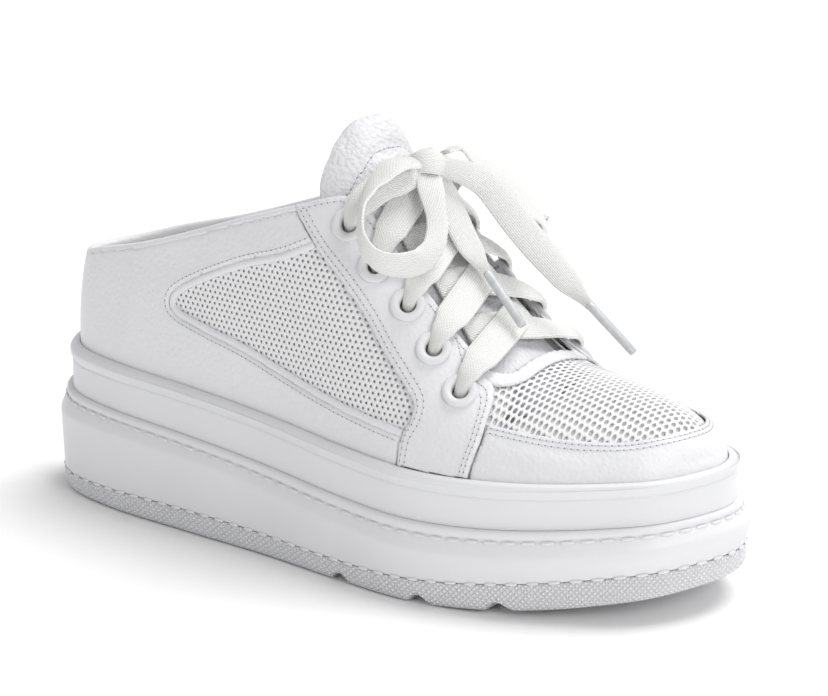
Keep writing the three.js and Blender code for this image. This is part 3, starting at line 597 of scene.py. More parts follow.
def finished(name, colour, group, depth, specular=0.42, **sizes):
    """A white material finished by a group, its coordinates and its shader, for what a piece adds."""
    material, tree, surface = new_material(name, colour, 0.42)
    surface.inputs["Specular IOR Level"].default_value = specular
    places = tree.nodes.new("ShaderNodeTexCoord")
    finish = tree.nodes.new("ShaderNodeGroup")
    finish.node_tree = group
    for label, value in sizes.items():
        finish.inputs[label].default_value = value
    tree.links.new(places.outputs["Object"], finish.inputs["Place"])
    tint(tree, surface, colour, finish.outputs["Shade"])
    tree.links.new(finish.outputs["Roughness"], surface.inputs["Roughness"])
    relief(tree, surface, finish.outputs["Height"], depth)
    return material, tree, surface, places


sole_foam = finished("moulded foam", (0.785, 0.785, 0.808, 1), mould_group, 0.03)[0]

# The outsole's edge carries a fine crossed hatching, pressed in by the mould.
HATCH_PITCH = 0.0023
tread_rubber, tree, surface, places = finished("tread rubber", (0.82, 0.82, 0.84, 1), mould_group, 0.05)
split = tree.nodes.new("ShaderNodeSeparateXYZ")
tree.links.new(places.outputs["Object"], split.inputs[0])
run = math_node(tree, "ADD", split.outputs[0], math_node(tree, "MULTIPLY", split.outputs[1], 0.85))
rise_scaled = math_node(tree, "MULTIPLY", split.outputs[2], 1.15)
hatches = []
for slant in (1, -1):
    slanted = math_node(tree, "MULTIPLY_ADD", rise_scaled, slant, run)
    wave = math_node(tree, "SINE", math_node(tree, "MULTIPLY", slanted, pi / HATCH_PITCH))
    hatches.append(math_node(tree, "ABSOLUTE", wave))
hatch = math_node(tree, "MINIMUM", *hatches)
relief(tree, surface, hatch, 0.6, 0.9)

BOTTOM_ROUND = 3.0


def bottom_row(quarter):
    """A row of the rounded bottom edge, at an angle from flat to upright."""
    out = BOTTOM_ROUND * (1 - sin(quarter))
    return 1.0 + out, lambda x: ground_height(x) + BOTTOM_ROUND * (1 - cos(quarter))


bottom_rows = [bottom_row(share * pi / 2) for share in (0, 0.2, 0.4, 0.6, 0.8, 1)]
edge_rows = rows_on([(1.0, "tread", -1.3), (1.05, "tread", -0.5), (1.35, "tread", -0.15)])
outsole = sole_stack("outsole_rubber", bottom_rows + edge_rows, 2)
NOTCH_WIDE = 9.0
NOTCH_HIGH = 3.2
NOTCH_SLACK = 0.6
notch_places = (0.577, 0.700, 0.800)


def split_wide_faces(opened):
    bmesh.ops.triangulate(opened, faces=[face for face in opened.faces if len(face.verts) > 4])


def keep_modified(piece):
    """Makes what a piece's modifiers show its own mesh."""
    mesh = bpy.data.meshes.new_from_object(piece.evaluated_get(bpy.context.evaluated_depsgraph_get()))
    piece.modifiers.clear()
    piece.data = mesh


edit_mesh(outsole, split_wide_faces)
for along in notch_places:
    x = (along - 0.5) * SOLE_LONG
    floor_at = float(ground_height(x))
    share = np.linspace(0, 1, 13)
    near, far = x - NOTCH_WIDE / 2, x + NOTCH_WIDE / 2
    arch = np.stack([near + NOTCH_WIDE * share, floor_at + NOTCH_HIGH * np.sin(pi * share) ** 0.8], -1)
    ahead = [[far + NOTCH_SLACK, -8], [far + NOTCH_SLACK, floor_at - 0.4]]
    behind = [[near - NOTCH_SLACK, floor_at - 0.4], [near - NOTCH_SLACK, -8]]
    outline = np.vstack([ahead, arch[::-1], behind])
    count = len(outline)
    points = [(px, side, pz) for side in (-80, 80) for px, pz in outline]
    faces = [tuple(range(count)), tuple(range(2 * count - 1, count - 1, -1))]
    faces += [(i, count + i, count + (i + 1) % count, (i + 1) % count) for i in range(count)]
    tool = new_piece("groove_tool", points, faces)
    edit_mesh(tool, turn_outward)
    groove = outsole.modifiers.new("groove", "BOOLEAN")
    groove.operation = "DIFFERENCE"
    groove.solver = "EXACT"
    groove.object = tool
    keep_modified(outsole)
    bpy.data.objects.remove(tool)
outsole.data.materials.clear()
outsole.data.materials.append(tread_rubber)

midsole = sole_stack(
    "midsole_foam",
    rows_on([
        (1.35, "tread", 0.15), (1.1, "tread", 0.4), (0.98, "tread", 1.0), (0.72, "tread", 3.0),
        (0.12, "edge", -2.2), (0.0, "edge", 0.0), (0.25, "edge", 1.3), (1.75, "groove", -0.75),
        (2.3, "groove", -0.25), (2.5, "groove", 0.0), (2.3, "groove", 0.35), (2.1, "groove", 0.9),
        (2.15, "ledge", -0.9), (2.6, "ledge", -0.2), (3.3, "ledge", 0.0), (6.0, "ledge", 0.0),
    ]),
    3,
)
midsole.data.materials.append(sole_foam)

WALL_ROUND = 360
wall_profile = rows_on([
    (4.05, "ledge", 0.1), (4.2, "ledge", 1.0), (4.25, "ledge", 3.5), (4.2, "bead", -2.5),
    (4.2, "bead", -0.6), (4.4, "bead", -0.1), (4.1, "bead", 0.35), (3.6, "bead", 1.4),
    (3.4, "bead", 2.8), (3.7, "rim", -1.7), (4.5, "rim", -0.6), (5.5, "rim", -0.1),
    (6.4, "rim", 0.05), (6.82, "rim", -0.2), (6.6, "rim", -1.2), (6.6, "ledge", 4.0), (6.6, "ledge", 0.1),
])
wall_rows = sole_rows(wall_profile, np.arange(WALL_ROUND) / WALL_ROUND, 3)
wall = new_piece("cup_side", wall_rows.reshape(-1, 3), ring_faces(len(wall_rows), WALL_ROUND, True))
wall.data.materials.append(sole_foam)
for piece, node, slot in (
    (outsole, "outsole", "sole_rubber"), (midsole, "midsole", "sole_foam"), (wall, "cup_wall", "sole_foam"),
):
    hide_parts(node)
    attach(piece, "root")

# The dashes are laid by one tree: it walks a path, and lays a small rounded bar at each step, in line
# with the path and standing off the surface.
def new_piece_tree(name, numbers):
    """An empty tree that takes a piece, named numbers and a material: itself, its inputs and end nodes."""
    tree = bpy.data.node_groups.new(name, "GeometryNodeTree")
    tree.interface.new_socket("Geometry", in_out="INPUT", socket_type="NodeSocketGeometry")
    for label, value in numbers:
        tree.interface.new_socket(label, in_out="INPUT", socket_type="NodeSocketFloat").default_value = value
    tree.interface.new_socket("Material", in_out="INPUT", socket_type="NodeSocketMaterial")
    tree.interface.new_socket("Geometry", in_out="OUTPUT", socket_type="NodeSocketGeometry")
    sockets = {
        socket.name: socket.identifier
        for socket in tree.interface.items_tree
        if socket.item_type == "SOCKET" and socket.in_out == "INPUT"
    }
    return tree, sockets, tree.nodes.new("NodeGroupInput"), tree.nodes.new("NodeGroupOutput")


dash_tree, dash_sockets, dash_in, dash_out = new_piece_tree(
    "dashes on a path", [("Step", 0.006), ("Long", 0.0045), ("Wide", 0.0008), ("High", 0.0006)]
)
nodes = dash_tree.nodes
to_curve = nodes.new("GeometryNodeMeshToCurve")
walk = nodes.new("GeometryNodeResampleCurve")
walk.mode = "LENGTH"
tangent = nodes.new("GeometryNodeInputTangent")
facing = nodes.new("GeometryNodeInputNamedAttribute")
facing.data_type = "FLOAT_VECTOR"
facing.inputs["Name"].default_value = "facing"
lie_along = nodes.new("FunctionNodeAlignRotationToVector")
lie_along.axis = "X"
stand_off = nodes.new("FunctionNodeAlignRotationToVector")
stand_off.axis = "Z"
stand_off.pivot_axis = "X"
bar = nodes.new("GeometryNodeMeshUVSphere")
bar.inputs["Segments"].default_value = 8
bar.inputs["Rings"].default_value = 6
bar.inputs["Radius"].default_value = 0.5
bar_size = nodes.new("ShaderNodeCombineXYZ")
place_bars = nodes.new("GeometryNodeInstanceOnPoints")
make_real = nodes.new("GeometryNodeRealizeInstances")
paint = nodes.new("GeometryNodeSetMaterial")
smooth_bars = nodes.new("GeometryNodeSetShadeSmooth")
for start, end in (
    (dash_in.outputs["Geometry"], to_curve.inputs["Mesh"]),
    (to_curve.outputs["Curve"], walk.inputs["Curve"]),
    (dash_in.outputs["Step"], walk.inputs["Length"]),
    (walk.outputs["Curve"], place_bars.inputs["Points"]),
    (tangent.outputs[0], lie_along.inputs["Vector"]),
    (lie_along.outputs[0], stand_off.inputs["Rotation"]),
    (facing.outputs[0], stand_off.inputs["Vector"]),
    (stand_off.outputs[0], place_bars.inputs["Rotation"]),
    (bar.outputs["Mesh"], place_bars.inputs["Instance"]),
    (dash_in.outputs["Long"], bar_size.inputs[0]),
    (dash_in.outputs["Wide"], bar_size.inputs[1]),
    (dash_in.outputs["High"], bar_size.inputs[2]),
    (bar_size.outputs[0], place_bars.inputs["Scale"]),
    (place_bars.outputs[0], make_real.inputs[0]),
    (make_real.outputs[0], smooth_bars.inputs[0]),
    (smooth_bars.outputs[0], paint.inputs["Geometry"]),
    (dash_in.outputs["Material"], paint.inputs["Material"]),
    (paint.outputs[0], dash_out.inputs["Geometry"]),
):
    dash_tree.links.new(start, end)


def lay_dashes(name, paths, sizes, material, shift=0.0):
    """Dashes along paths, given as points and the ways that the surface faces there, joined in one piece."""
    points, edges, faces = [], [], []
    for path, facing, closed in paths:
        walked = walked_along(path)
        if shift and walked[-1] > 3 * shift:
            even = np.linspace(shift, walked[-1] - shift, len(path))
            path = read_at(even, walked, path)
            facing = read_at(even, walked, facing)
        first = len(points)
        count = len(path)
        points += list(np.asarray(path) * MM)
        faces += list(np.asarray(facing))
        edges += [(first + i, first + i + 1) for i in range(count - 1)]
        if closed:
            edges.append((first + count - 1, first))
    mesh = bpy.data.meshes.new(name)
    mesh.from_pydata([tuple(point) for point in points], edges, [])
    ways = mesh.attributes.new("facing", "FLOAT_VECTOR", "POINT")
    ways.data.foreach_set("vector", np.array(faces, float).ravel())
    piece = new_object(name, mesh)
    laid = piece.modifiers.new("dashes", "NODES")
    laid.node_group = dash_tree
    for label, value in zip(("Step", "Long", "Wide", "High"), sizes):
        laid[dash_sockets[label]] = value * MM
    laid[dash_sockets["Material"]] = material
    keep_modified(piece)
    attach(piece, "root")
    return piece


def sole_path(inset, name, rise, around=720):
    """A closed path round the sole's side, by one of its lines, and the way out from it."""
    turns = np.arange(around) / around
    level = plan_point(turns, np.full(around, inset))
    out = level - plan_point(turns, np.full(around, inset + 1))
    path = np.column_stack([level, line[name](level[:, 0]) + rise])
    return path, np.column_stack([out, np.zeros(around)]), True


lay_dashes("dashes_upper", [sole_path(1.95, "groove", -0.45)], (6.0, 4.7, 1.0, 1.0), sole_foam)
lay_dashes("dashes_lower", [sole_path(0.9, "tread", 0.15)], (6.6, 4.2, 1.1, 1.1), sole_foam)

# Upper.
# It is cut flat, closed with lockstitch and pulled over a last till the cement sets, so every piece here
# is drawn on the last: by its turn round the foot, from the heel by the outer side, and its rise to the
# ridge.
INSTEP = 130.0
FOOT_INSET = 6.3
FOOT_DROP = 3.0
ridge_along = (0.10, 0.25, 0.40, 0.50, 0.58, 0.66, 0.74, 0.82, 0.90)
ridge_side = spline_through(
    ridge_along, np.array((0.07, 0.06, 0.05, 0.04, 0.03, 0.03, 0.05, 0.09, 0.13)) * SOLE_WIDE / 2
)
ridge_height = spline_through(
    ridge_along, np.array((0.80, 1.00, 1.13, 1.05, 0.872, 0.70, 0.552, 0.515, 0.482)) * INSTEP
)
ridge_square = spline_through(ridge_along, (3.0, 2.6, 2.4, 2.1, 1.9, 1.8, 1.95, 1.95, 2.2))


def last_point(turn, rise):
    turn, rise = np.broadcast_arrays(np.asarray(turn, float), np.asarray(rise, float))
    foot = plan_point(turn, FOOT_INSET)
    opposite = plan_point(1 - turn, FOOT_INSET)
    share = ((foot[..., 0] + opposite[..., 0] + SOLE_LONG) / 2 - FOOT_INSET) / (SOLE_LONG - 2 * FOOT_INSET)
    ridge_x = (0.8 * share - 0.4) * SOLE_LONG
    ridge_y = ridge_side(ridge_x)
    square = ridge_square(ridge_x)
    climb = np.maximum(rise, 0) * pi / 2
    out, up = np.cos(climb), np.sin(climb)
    radius = (np.abs(out) ** square + np.abs(up) ** square) ** (-1 / square)
    x = ridge_x + (foot[..., 0] - ridge_x) * out * radius
    y = ridge_y + (foot[..., 1] - ridge_y) * out * radius
    base = line["rim"](foot[..., 0]) - FOOT_DROP
    under = (base - line["ledge"](foot[..., 0]) - GAP) * np.minimum(rise, 0) * 10
    return np.stack([x, y, base + under + (ridge_height(x) - base) * up * radius], -1)


def last_normal(turn, rise):
    turn, rise = np.broadcast_arrays(np.asarray(turn, float), np.asarray(rise, float))
    step = 1e-3
    near = np.minimum(rise, 1 - step)
    across = np.cross(
        last_point(turn + step, near) - last_point(turn - step, near),
        last_point(turn, near + step) - last_point(turn, near - step),
    )
    x = last_point(turn, rise)[..., 0]
    ridge = np.stack([ridge_height(x - 1) - ridge_height(x + 1), 0 * x, 0 * x + 2], -1)
    return unit(np.where((rise > 1 - 1e-6)[..., None], ridge, across))


# Soft hollows and swellings left by the last and by handling: their turn, rise, length and width as
# shares of the form, and how far they stand off, in millimetres.
hollows = [
    (0.130, 0.42, 0.030, 0.10, 0.35), (0.175, 0.30, 0.022, 0.05, -0.35), (0.205, 0.52, 0.030, 0.07, -0.45),
    (0.055, 0.35, 0.016, 0.12, -0.30), (0.095, 0.52, 0.020, 0.05, -0.30), (0.250, 0.33, 0.035, 0.05, 0.40),
    (0.365, 0.16, 0.020, 0.06, -0.35), (0.395, 0.30, 0.016, 0.05, -0.45), (0.425, 0.62, 0.020, 0.05, -0.45),
    (0.455, 0.45, 0.018, 0.05, 0.35), (0.485, 0.24, 0.014, 0.05, -0.35), (0.545, 0.52, 0.020, 0.06, -0.40),
    (0.600, 0.22, 0.024, 0.06, -0.40), (0.760, 0.40, 0.040, 0.06, -0.50), (0.905, 0.45, 0.030, 0.09, 0.40),
]


def hollow(turn, rise):
    total = 0
    for at_turn, at_rise, long, wide, off in hollows:
        away = (turn % 1 - at_turn + 0.5) % 1 - 0.5
        total = total + off * np.exp(-((away / long) ** 2) - ((rise - at_rise) / wide) ** 2)
    return total


def on_last(turn, rise, offset):
    lift = offset + hollow(np.asarray(turn, float), np.asarray(rise, float))
    return last_point(turn, rise) + last_normal(turn, rise) * np.asarray(lift)[..., None]


# The pattern: the outlines of the pieces as the side view and the plan show them.
def smooth_edge(stations):
    marks = np.array([((along - 0.5) * SOLE_LONG, height * INSTEP) for along, height in stations])
    marks = np.vstack([marks[:1], marks, marks[-1:]])
    t = np.linspace(0, 1, 6, endpoint=False)[:, None]
    parts = []
    for p0, p1, p2, p3 in zip(marks, marks[1:], marks[2:], marks[3:]):
        parts.append(ease_between(p1, p2, (p2 - p0) / 2, (p3 - p1) / 2, t))
    return np.vstack([*parts, marks[-1:]])


AT_ONCE = 8000


def depth_in(outline, axes=(0, 2)):
    """A measure of how far points lie inside a closed outline, and less than 0 outside it."""
    outline = np.asarray(outline, float)
    span = np.roll(outline, -1, axis=0) - outline

    def depth(points):
        flat = points[..., list(axes)].reshape(-1, 2)
        result = np.empty(len(flat))
        for first in range(0, len(flat), AT_ONCE):
            here = flat[first:first + AT_ONCE, None]
            share = np.clip(((here - outline) * span).sum(-1) / np.maximum((span**2).sum(-1), 1e-9), 0, 1)
            near = np.sqrt((((here - outline) - share[..., None] * span) ** 2).sum(-1).min(1))
            low = outline[:, 1] > here[..., 1]
            high = outline[:, 1] + span[:, 1] > here[..., 1]
            rise = np.where(span[:, 1] == 0, 1, span[:, 1])
            at = outline[:, 0] + (here[..., 1] - outline[:, 1]) * span[:, 0] / rise
            odd = ((low != high) & (here[..., 0] < at)).sum(1) % 2
            result[first:first + AT_ONCE] = np.where(odd == 1, near, -near)
        return result.reshape(points.shape[:-1])

    return depth


FAR = 400.0
collar_edge = smooth_edge([
    (-0.03, 0.585), (0.05, 0.612), (0.12, 0.648), (0.21, 0.693), (0.31, 0.758), (0.37, 0.800), (0.45, 0.852),
    (0.49, 0.878), (0.52, 0.888), (0.55, 0.865),
])
rear_edge = smooth_edge([
    (0.430, 0.930), (0.447, 0.870), (0.493, 0.772), (0.537, 0.700), (0.575, 0.632), (0.608, 0.563),
    (0.640, 0.504), (0.663, 0.458), (0.664, 0.420), (0.655, 0.370), (0.650, 0.200),
])
front_edge = smooth_edge([
    (0.690, 0.600), (0.719, 0.525), (0.738, 0.500), (0.748, 0.470), (0.753, 0.430), (0.755, 0.390),
    (0.752, 0.345), (0.744, 0.200),
])
window_edge = smooth_edge([
    (0.500, 0.792), (0.446, 0.741), (0.384, 0.703), (0.316, 0.647), (0.276, 0.606), (0.259, 0.572),
    (0.268, 0.535), (0.322, 0.508), (0.389, 0.482), (0.457, 0.446), (0.527, 0.415), (0.596, 0.392),
    (0.680, 0.372),
])
toe_edge = smooth_edge([
    (0.700, 0.445), (0.760, 0.430), (0.840, 0.415), (0.900, 0.413), (0.950, 0.427), (1.020, 0.450),
])
above_collar = depth_in([*collar_edge, (collar_edge[-1][0], FAR), (-FAR, FAR), (-FAR, collar_edge[0][1])])
behind_rear = depth_in([
    (-FAR, FAR), (-FAR, -FAR), (rear_edge[-1][0], -FAR), *rear_edge[::-1], (rear_edge[0][0], FAR),
])
ahead_front = depth_in([
    (front_edge[0][0], FAR), *front_edge, (front_edge[-1][0], -FAR), (FAR, -FAR), (FAR, FAR),
])
in_window = depth_in([*window_edge, (window_edge[-1][0], window_edge[0][1])])
under_toe_edge = depth_in([*toe_edge, (FAR, toe_edge[-1][1]), (FAR, -FAR), (toe_edge[0][0], -FAR)])
throat_middle = float(ridge_side(0))
corner_turn = np.linspace(0, pi / 2, 8)
throat = [(-39.0, -20.2), *((54.7 + 9 * sin(a), -12.5 - 9 * cos(a)) for a in corner_turn),
          *((54.7 + 9 * cos(a), 12.5 + 9 * sin(a)) for a in corner_turn), (-39.0, 20.2)]
in_throat = depth_in(np.array(throat) + (0, throat_middle), (0, 1))
eyelet_places = ((0.2581, 0.550), (0.2744, 0.546), (0.2956, 0.562), (0.3159, 0.525), (0.3341, 0.466))
HOLE_RADIUS = 3.6


def away_from_eyelets(points):
    middles = [last_point(at, rise) for turn, rise in eyelet_places for at in (1 - turn, turn)]
    return np.sqrt(((points[..., None, :] - np.array(middles)) ** 2).sum(-1)).min(-1) - HOLE_RADIUS


# Every piece is cut from one sheet over the whole last, along the lines where its measures pass zero.
SHEET_ROUND, SHEET_UP = 520, 108
sheet_turns = np.arange(SHEET_ROUND + 1) / SHEET_ROUND
sheet_rises = np.concatenate([[-0.1, -0.05], np.linspace(0, 1, SHEET_UP)])
grid_turn, grid_rise = np.meshgrid(sheet_turns, sheet_rises)
grid_points = last_point(grid_turn, grid_rise)
measured = {}


def over_sheet(measure):
    """A measure's values over the sheet, worked out once."""
    if measure not in measured:
        measured[measure] = measure(grid_points)
    return measured[measure]


def cut_sheet(measures):
    """Places and faces of what is left of the sheet where every measure stays above its limit."""
    values = [over_sheet(measure) * sign - limit for measure, sign, limit in measures]
    width = grid_turn.shape[1]
    low = np.min(values, axis=0)
    any_in = (low[:-1, :-1] > 0) | (low[1:, :-1] > 0) | (low[:-1, 1:] > 0) | (low[1:, 1:] > 0)
    rows, columns = np.nonzero(any_in)
    places = np.stack([grid_turn.ravel(), grid_rise.ravel()], 1).tolist()
    faces = [
        [r * width + c, r * width + c + 1, (r + 1) * width + c + 1, (r + 1) * width + c]
        for r, c in zip(rows.tolist(), columns.tolist())
    ]
    marks = [value.ravel().tolist() for value in values]
    for mark in marks:
        cuts, kept = {}, []
        for face in faces:
            if all(mark[corner] > 0 for corner in face):
                kept.append(face)
                continue
            fresh = []
            for a, b in zip(face, face[1:] + face[:1]):
                if mark[a] > 0:
                    fresh.append(a)
                if (mark[a] > 0) != (mark[b] > 0):
                    key = (min(a, b), max(a, b))
                    if key not in cuts:
                        one, two = key
                        share = mark[one] / (mark[one] - mark[two])
                        cuts[key] = len(places)
                        pairs = zip(places[one], places[two])
                        places.append([near + (far - near) * share for near, far in pairs])
                        for other in marks:
                            other.append(other[one] + (other[two] - other[one]) * share)
                        mark[-1] = 0.0
                    fresh.append(cuts[key])
            if len(fresh) > 2:
                kept.append(fresh)
        faces = kept
    used = sorted({corner for face in faces for corner in face})
    number = {corner: i for i, corner in enumerate(used)}
    faces = [[number[corner] for corner in face] for face in faces]
    return np.array([places[corner] for corner in used]), faces


# The share of its thickness by which a cut edge is turned in.
EDGE_TURN = 0.45


def panel(name, measures, material, top, thick):
    """A cut piece of sheet goods lying on the last, its top at an offset, with softly turned edges."""
    places, faces = cut_sheet(measures)
    piece = new_piece(name, on_last(places[:, 0], places[:, 1], np.full(len(places), -top)), faces)
    piece.data.uv_layers.new(name="place")

    def turn_edge(sewn):
        bmesh.ops.remove_doubles(sewn, verts=sewn.verts, dist=2e-5)
        bmesh.ops.dissolve_degenerate(sewn, edges=sewn.edges, dist=1e-5)
        sewn.normal_update()
        for vert in [vert for vert in sewn.verts if vert.is_boundary]:
            vert.co -= vert.normal * thick * EDGE_TURN * MM

    edit_mesh(piece, turn_edge)
    body = piece.modifiers.new("thickness", "SOLIDIFY")
    body.thickness = thick * (1 - EDGE_TURN * 0.5) * MM
    body.offset = -1
    keep_modified(piece)
    piece.data.polygons.foreach_set("use_smooth", [True] * len(piece.data.polygons))
    piece.data.materials.clear()
    piece.data.materials.append(material)
    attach(piece, "root")
    return piece


# Height of full-grain leather: small pebbles between fine creases, with broader worn places.
leather_group, leather_in, leather_out = new_group(
    "leather grain", [("Pebble", 900.0), ("Creases", 1.1)], ["Height", "Shade", "Roughness"]
)
pebbles = leather_group.nodes.new("ShaderNodeTexVoronoi")
pebbles.feature = "SMOOTH_F1"
leather_group.links.new(leather_in.outputs["Place"], pebbles.inputs["Vector"])
leather_group.links.new(leather_in.outputs["Pebble"], pebbles.inputs["Scale"])
wear = noise_at(leather_group, leather_in.outputs["Place"], 45, 4, 0.6)
fine = noise_at(leather_group, leather_in.outputs["Place"], 2200, 2)
pulled = noise_at(leather_group, leather_in.outputs["Place"], 330, 3, 0.6)
pebble_height = math_node(leather_group, "SUBTRACT", 1.0, pebbles.outputs["Distance"])
grain = math_node(leather_group, "MULTIPLY_ADD", fine, 0.4, pebble_height)
grain = math_node(leather_group, "MULTIPLY_ADD", pulled, leather_in.outputs["Creases"], grain)
leather_group.links.new(grain, leather_out.inputs["Height"])
worn(leather_group, leather_out, wear, Shade=(0.10, 0.94), Roughness=(0.20, 0.30))
LEATHER_WHITE = (0.81, 0.81, 0.83, 1)
LEATHER_GLOSS = 0.45
white_leather = finished("white leather", LEATHER_WHITE, leather_group, 0.17, LEATHER_GLOSS, Pebble=760.0)[0]
lining_cloth = noisy_material(
    "brushed lining", (0.88, 0.875, 0.86, 1), 0.9, (1800, 3, 0.6), (0.16, 0.92), 0.15
)

# The quarter wraps the heel in one piece of leather, skived to 1 mm, with a window for the mesh.
quarter = panel(
    "quarter_leather",
    [(behind_rear, 1, 0.3), (in_window, -1, 0), (above_collar, -1, 1.2), (in_throat, -1, 0)],
    white_leather, top=0.6, thick=1.0,
)
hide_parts("quarter")


def over_rim(points):
    return points[..., 2] - line["rim"](points[..., 0]) - GAP


# The eyestays are lapped over the quarter and over the vamp, one on each side of the throat.
eyestay_cuts = [
    (behind_rear, -1, 0), (ahead_front, -1, 0), (in_throat, -1, 0), (over_rim, 1, -0.2),
    (above_collar, -1, 0), (away_from_eyelets, 1, 0),
]


def on_outer(points):
    return throat_middle - points[..., 1]


for side, sign in (("outer", 1), ("inner", -1)):
    eyestay = panel(
        f"eyestay_{side}_leather", [*eyestay_cuts, (on_outer, sign, 0)],
        white_leather, top=0.0, thick=1.6,
    )
    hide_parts(f"eyestay_{side}")


# Under each eyestay the quarter and the toe cap run on as a seam allowance, down into the cup.
def under_foot(points):
    return line["rim"](points[..., 0]) + 9 - points[..., 2]


panel(
    "seam_allowance", [(behind_rear, -1, -5), (ahead_front, -1, -5), (under_foot, 1, 0)],
    white_leather, top=1.72, thick=0.9,
)

# The toe cap is one piece round the toes, and a plain strip faces the front of the throat.
toe_cap = panel(
    "toe_cap_leather", [(ahead_front, 1, 0.3), (under_toe_edge, 1, 0)],
    white_leather, top=0.6, thick=1.0,
)
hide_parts("toe_cap")
panel(
    "throat_facing", [(in_throat, 1, -4.4), (in_throat, -1, 0), (ahead_front, 1, -2.0)],
    white_leather, top=0.95, thick=0.9,
)

# The lining backs all but the airy front of the throat, and its fold and the quarter's are rolled
# together at the collar.
lining = panel(
    "lining_cloth",
    [(above_collar, -1, 1.5), (in_throat, -1, 0), (away_from_eyelets, 1, 0), (ahead_front, -1, -4.0)],
    lining_cloth, top=2.75, thick=0.85,
)
panel("toe_lining", [(ahead_front, 1, 0), (in_throat, -1, 15)], lining_cloth, top=2.9, thick=0.8)


def lines_on_last(measure, level):
    """Chains of places where a measure passes a level, and whether each chain closes on itself."""
    value = over_sheet(measure)[2:] - level
    turn, rise = grid_turn[2:], grid_rise[2:]
    up = value > 0
    mixed = (up[:-1, :-1] != up[1:, :-1]) | (up[:-1, :-1] != up[:-1, 1:]) | (up[:-1, :-1] != up[1:, 1:])
    joined = {}
    for r, c in zip(*(index.tolist() for index in np.nonzero(mixed))):
        edges = [(r, c, 0), (r, c + 1, 1), (r + 1, c, 0), (r, c, 1)]
        hits = []
        for er, ec, way in edges:
            fr, fc = (er, ec + 1) if way == 0 else (er + 1, ec)
            if up[er, ec] != up[fr, fc]:
                hits.append((er, ec % SHEET_ROUND, way))
        for a, b in zip(hits[::2], hits[1::2]):
            joined.setdefault(a, []).append(b)
            joined.setdefault(b, []).append(a)
    done, chains = set(), []
    for start in sorted(joined, key=lambda key: len(joined[key])):
        if start in done:
            continue
        chain = [start]
        done.add(start)
        while True:
            ahead = [key for key in joined[chain[-1]] if key not in done]
            if not ahead:
                break
            chain.append(ahead[0])
            done.add(ahead[0])
        closed = len(chain) > 2 and chain[0] in joined[chain[-1]]
        places = []
        for r, c, way in chain:
            fr, fc = (r, c + 1) if way == 0 else (r + 1, c)
            share = value[r, c] / (value[r, c] - value[fr, fc])
            places.append([of[r, c] + (of[fr, fc] - of[r, c]) * share for of in (turn, rise)])
        chains.append((np.array(places), closed))
    return chains


def seam_paths(measure, level, offset, keep):
    """Paths on the last along a level of a measure, where every kept measure stays above its limit."""
    paths = []
    for places, closed in lines_on_last(measure, level):
        points = last_point(places[:, 0], places[:, 1])
        good = np.all([check(points) * sign > limit for check, sign, limit in keep], axis=0)
        where = on_last(places[:, 0], places[:, 1], np.full(len(places), offset))
        facing = last_normal(places[:, 0], places[:, 1])
        if good.all():
            paths.append((where, facing, closed))
            continue
        if closed:
            first = int(np.argmin(good))
            where, facing, good = (np.roll(values, -first, axis=0) for values in (where, facing, good))
        change = np.diff(np.concatenate([[0], good.astype(int), [0]]))
        starts, ends = np.flatnonzero(change == 1), np.flatnonzero(change == -1)
        paths += [(where[a:b], facing[a:b], False) for a, b in zip(starts, ends) if b - a > 4]
    return paths


def evened(values):
    """A row of values made smoother, its two ends held."""
    values = values.copy()
    for _ in range(3):
        values[1:-1] = (values[:-2] + 2 * values[1:-1] + values[2:]) / 4
    return values


def roll_along(name, paths, wide, high, material):
    """A rounded cord of cloth or leather laid along paths."""
    around = 12
    angle = circle(around)
    points, faces = [], []
    for where, facing, closed in paths:
        eased = evened(where)
        along = unit(np.roll(eased, -1, 0) - np.roll(eased, 1, 0) if closed else np.gradient(eased, axis=0))
        side = unit(np.cross(facing, along))
        out = side[:, None] * (wide / 2 * np.cos(angle))[:, None]
        rings = eased[:, None] + out + facing[:, None] * (high / 2 * np.sin(angle))[:, None]
        first, count = len(points), len(eased)
        points += list(rings.reshape(-1, 3))
        sides = ring_faces(count, around, closed) + ([] if closed else cap_faces(0, count - 1, around))
        faces += [tuple(first + corner for corner in face[::-1]) for face in sides]
    piece = new_piece(name, np.array(points), faces)
    edit_mesh(piece, turn_outward)
    piece.data.materials.append(material)
    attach(piece, "root")
    return piece


collar_path = seam_paths(above_collar, -1.0, -2.2, [(in_throat, -1, 0.4)])
roll_along("collar_fold", collar_path, 2.9, 3.2, white_leather)
window_path = seam_paths(in_window, 1.0, -1.45, [(behind_rear, 1, -0.5)])
roll_along("window_binding", window_path, 2.5, 1.6, white_leather)

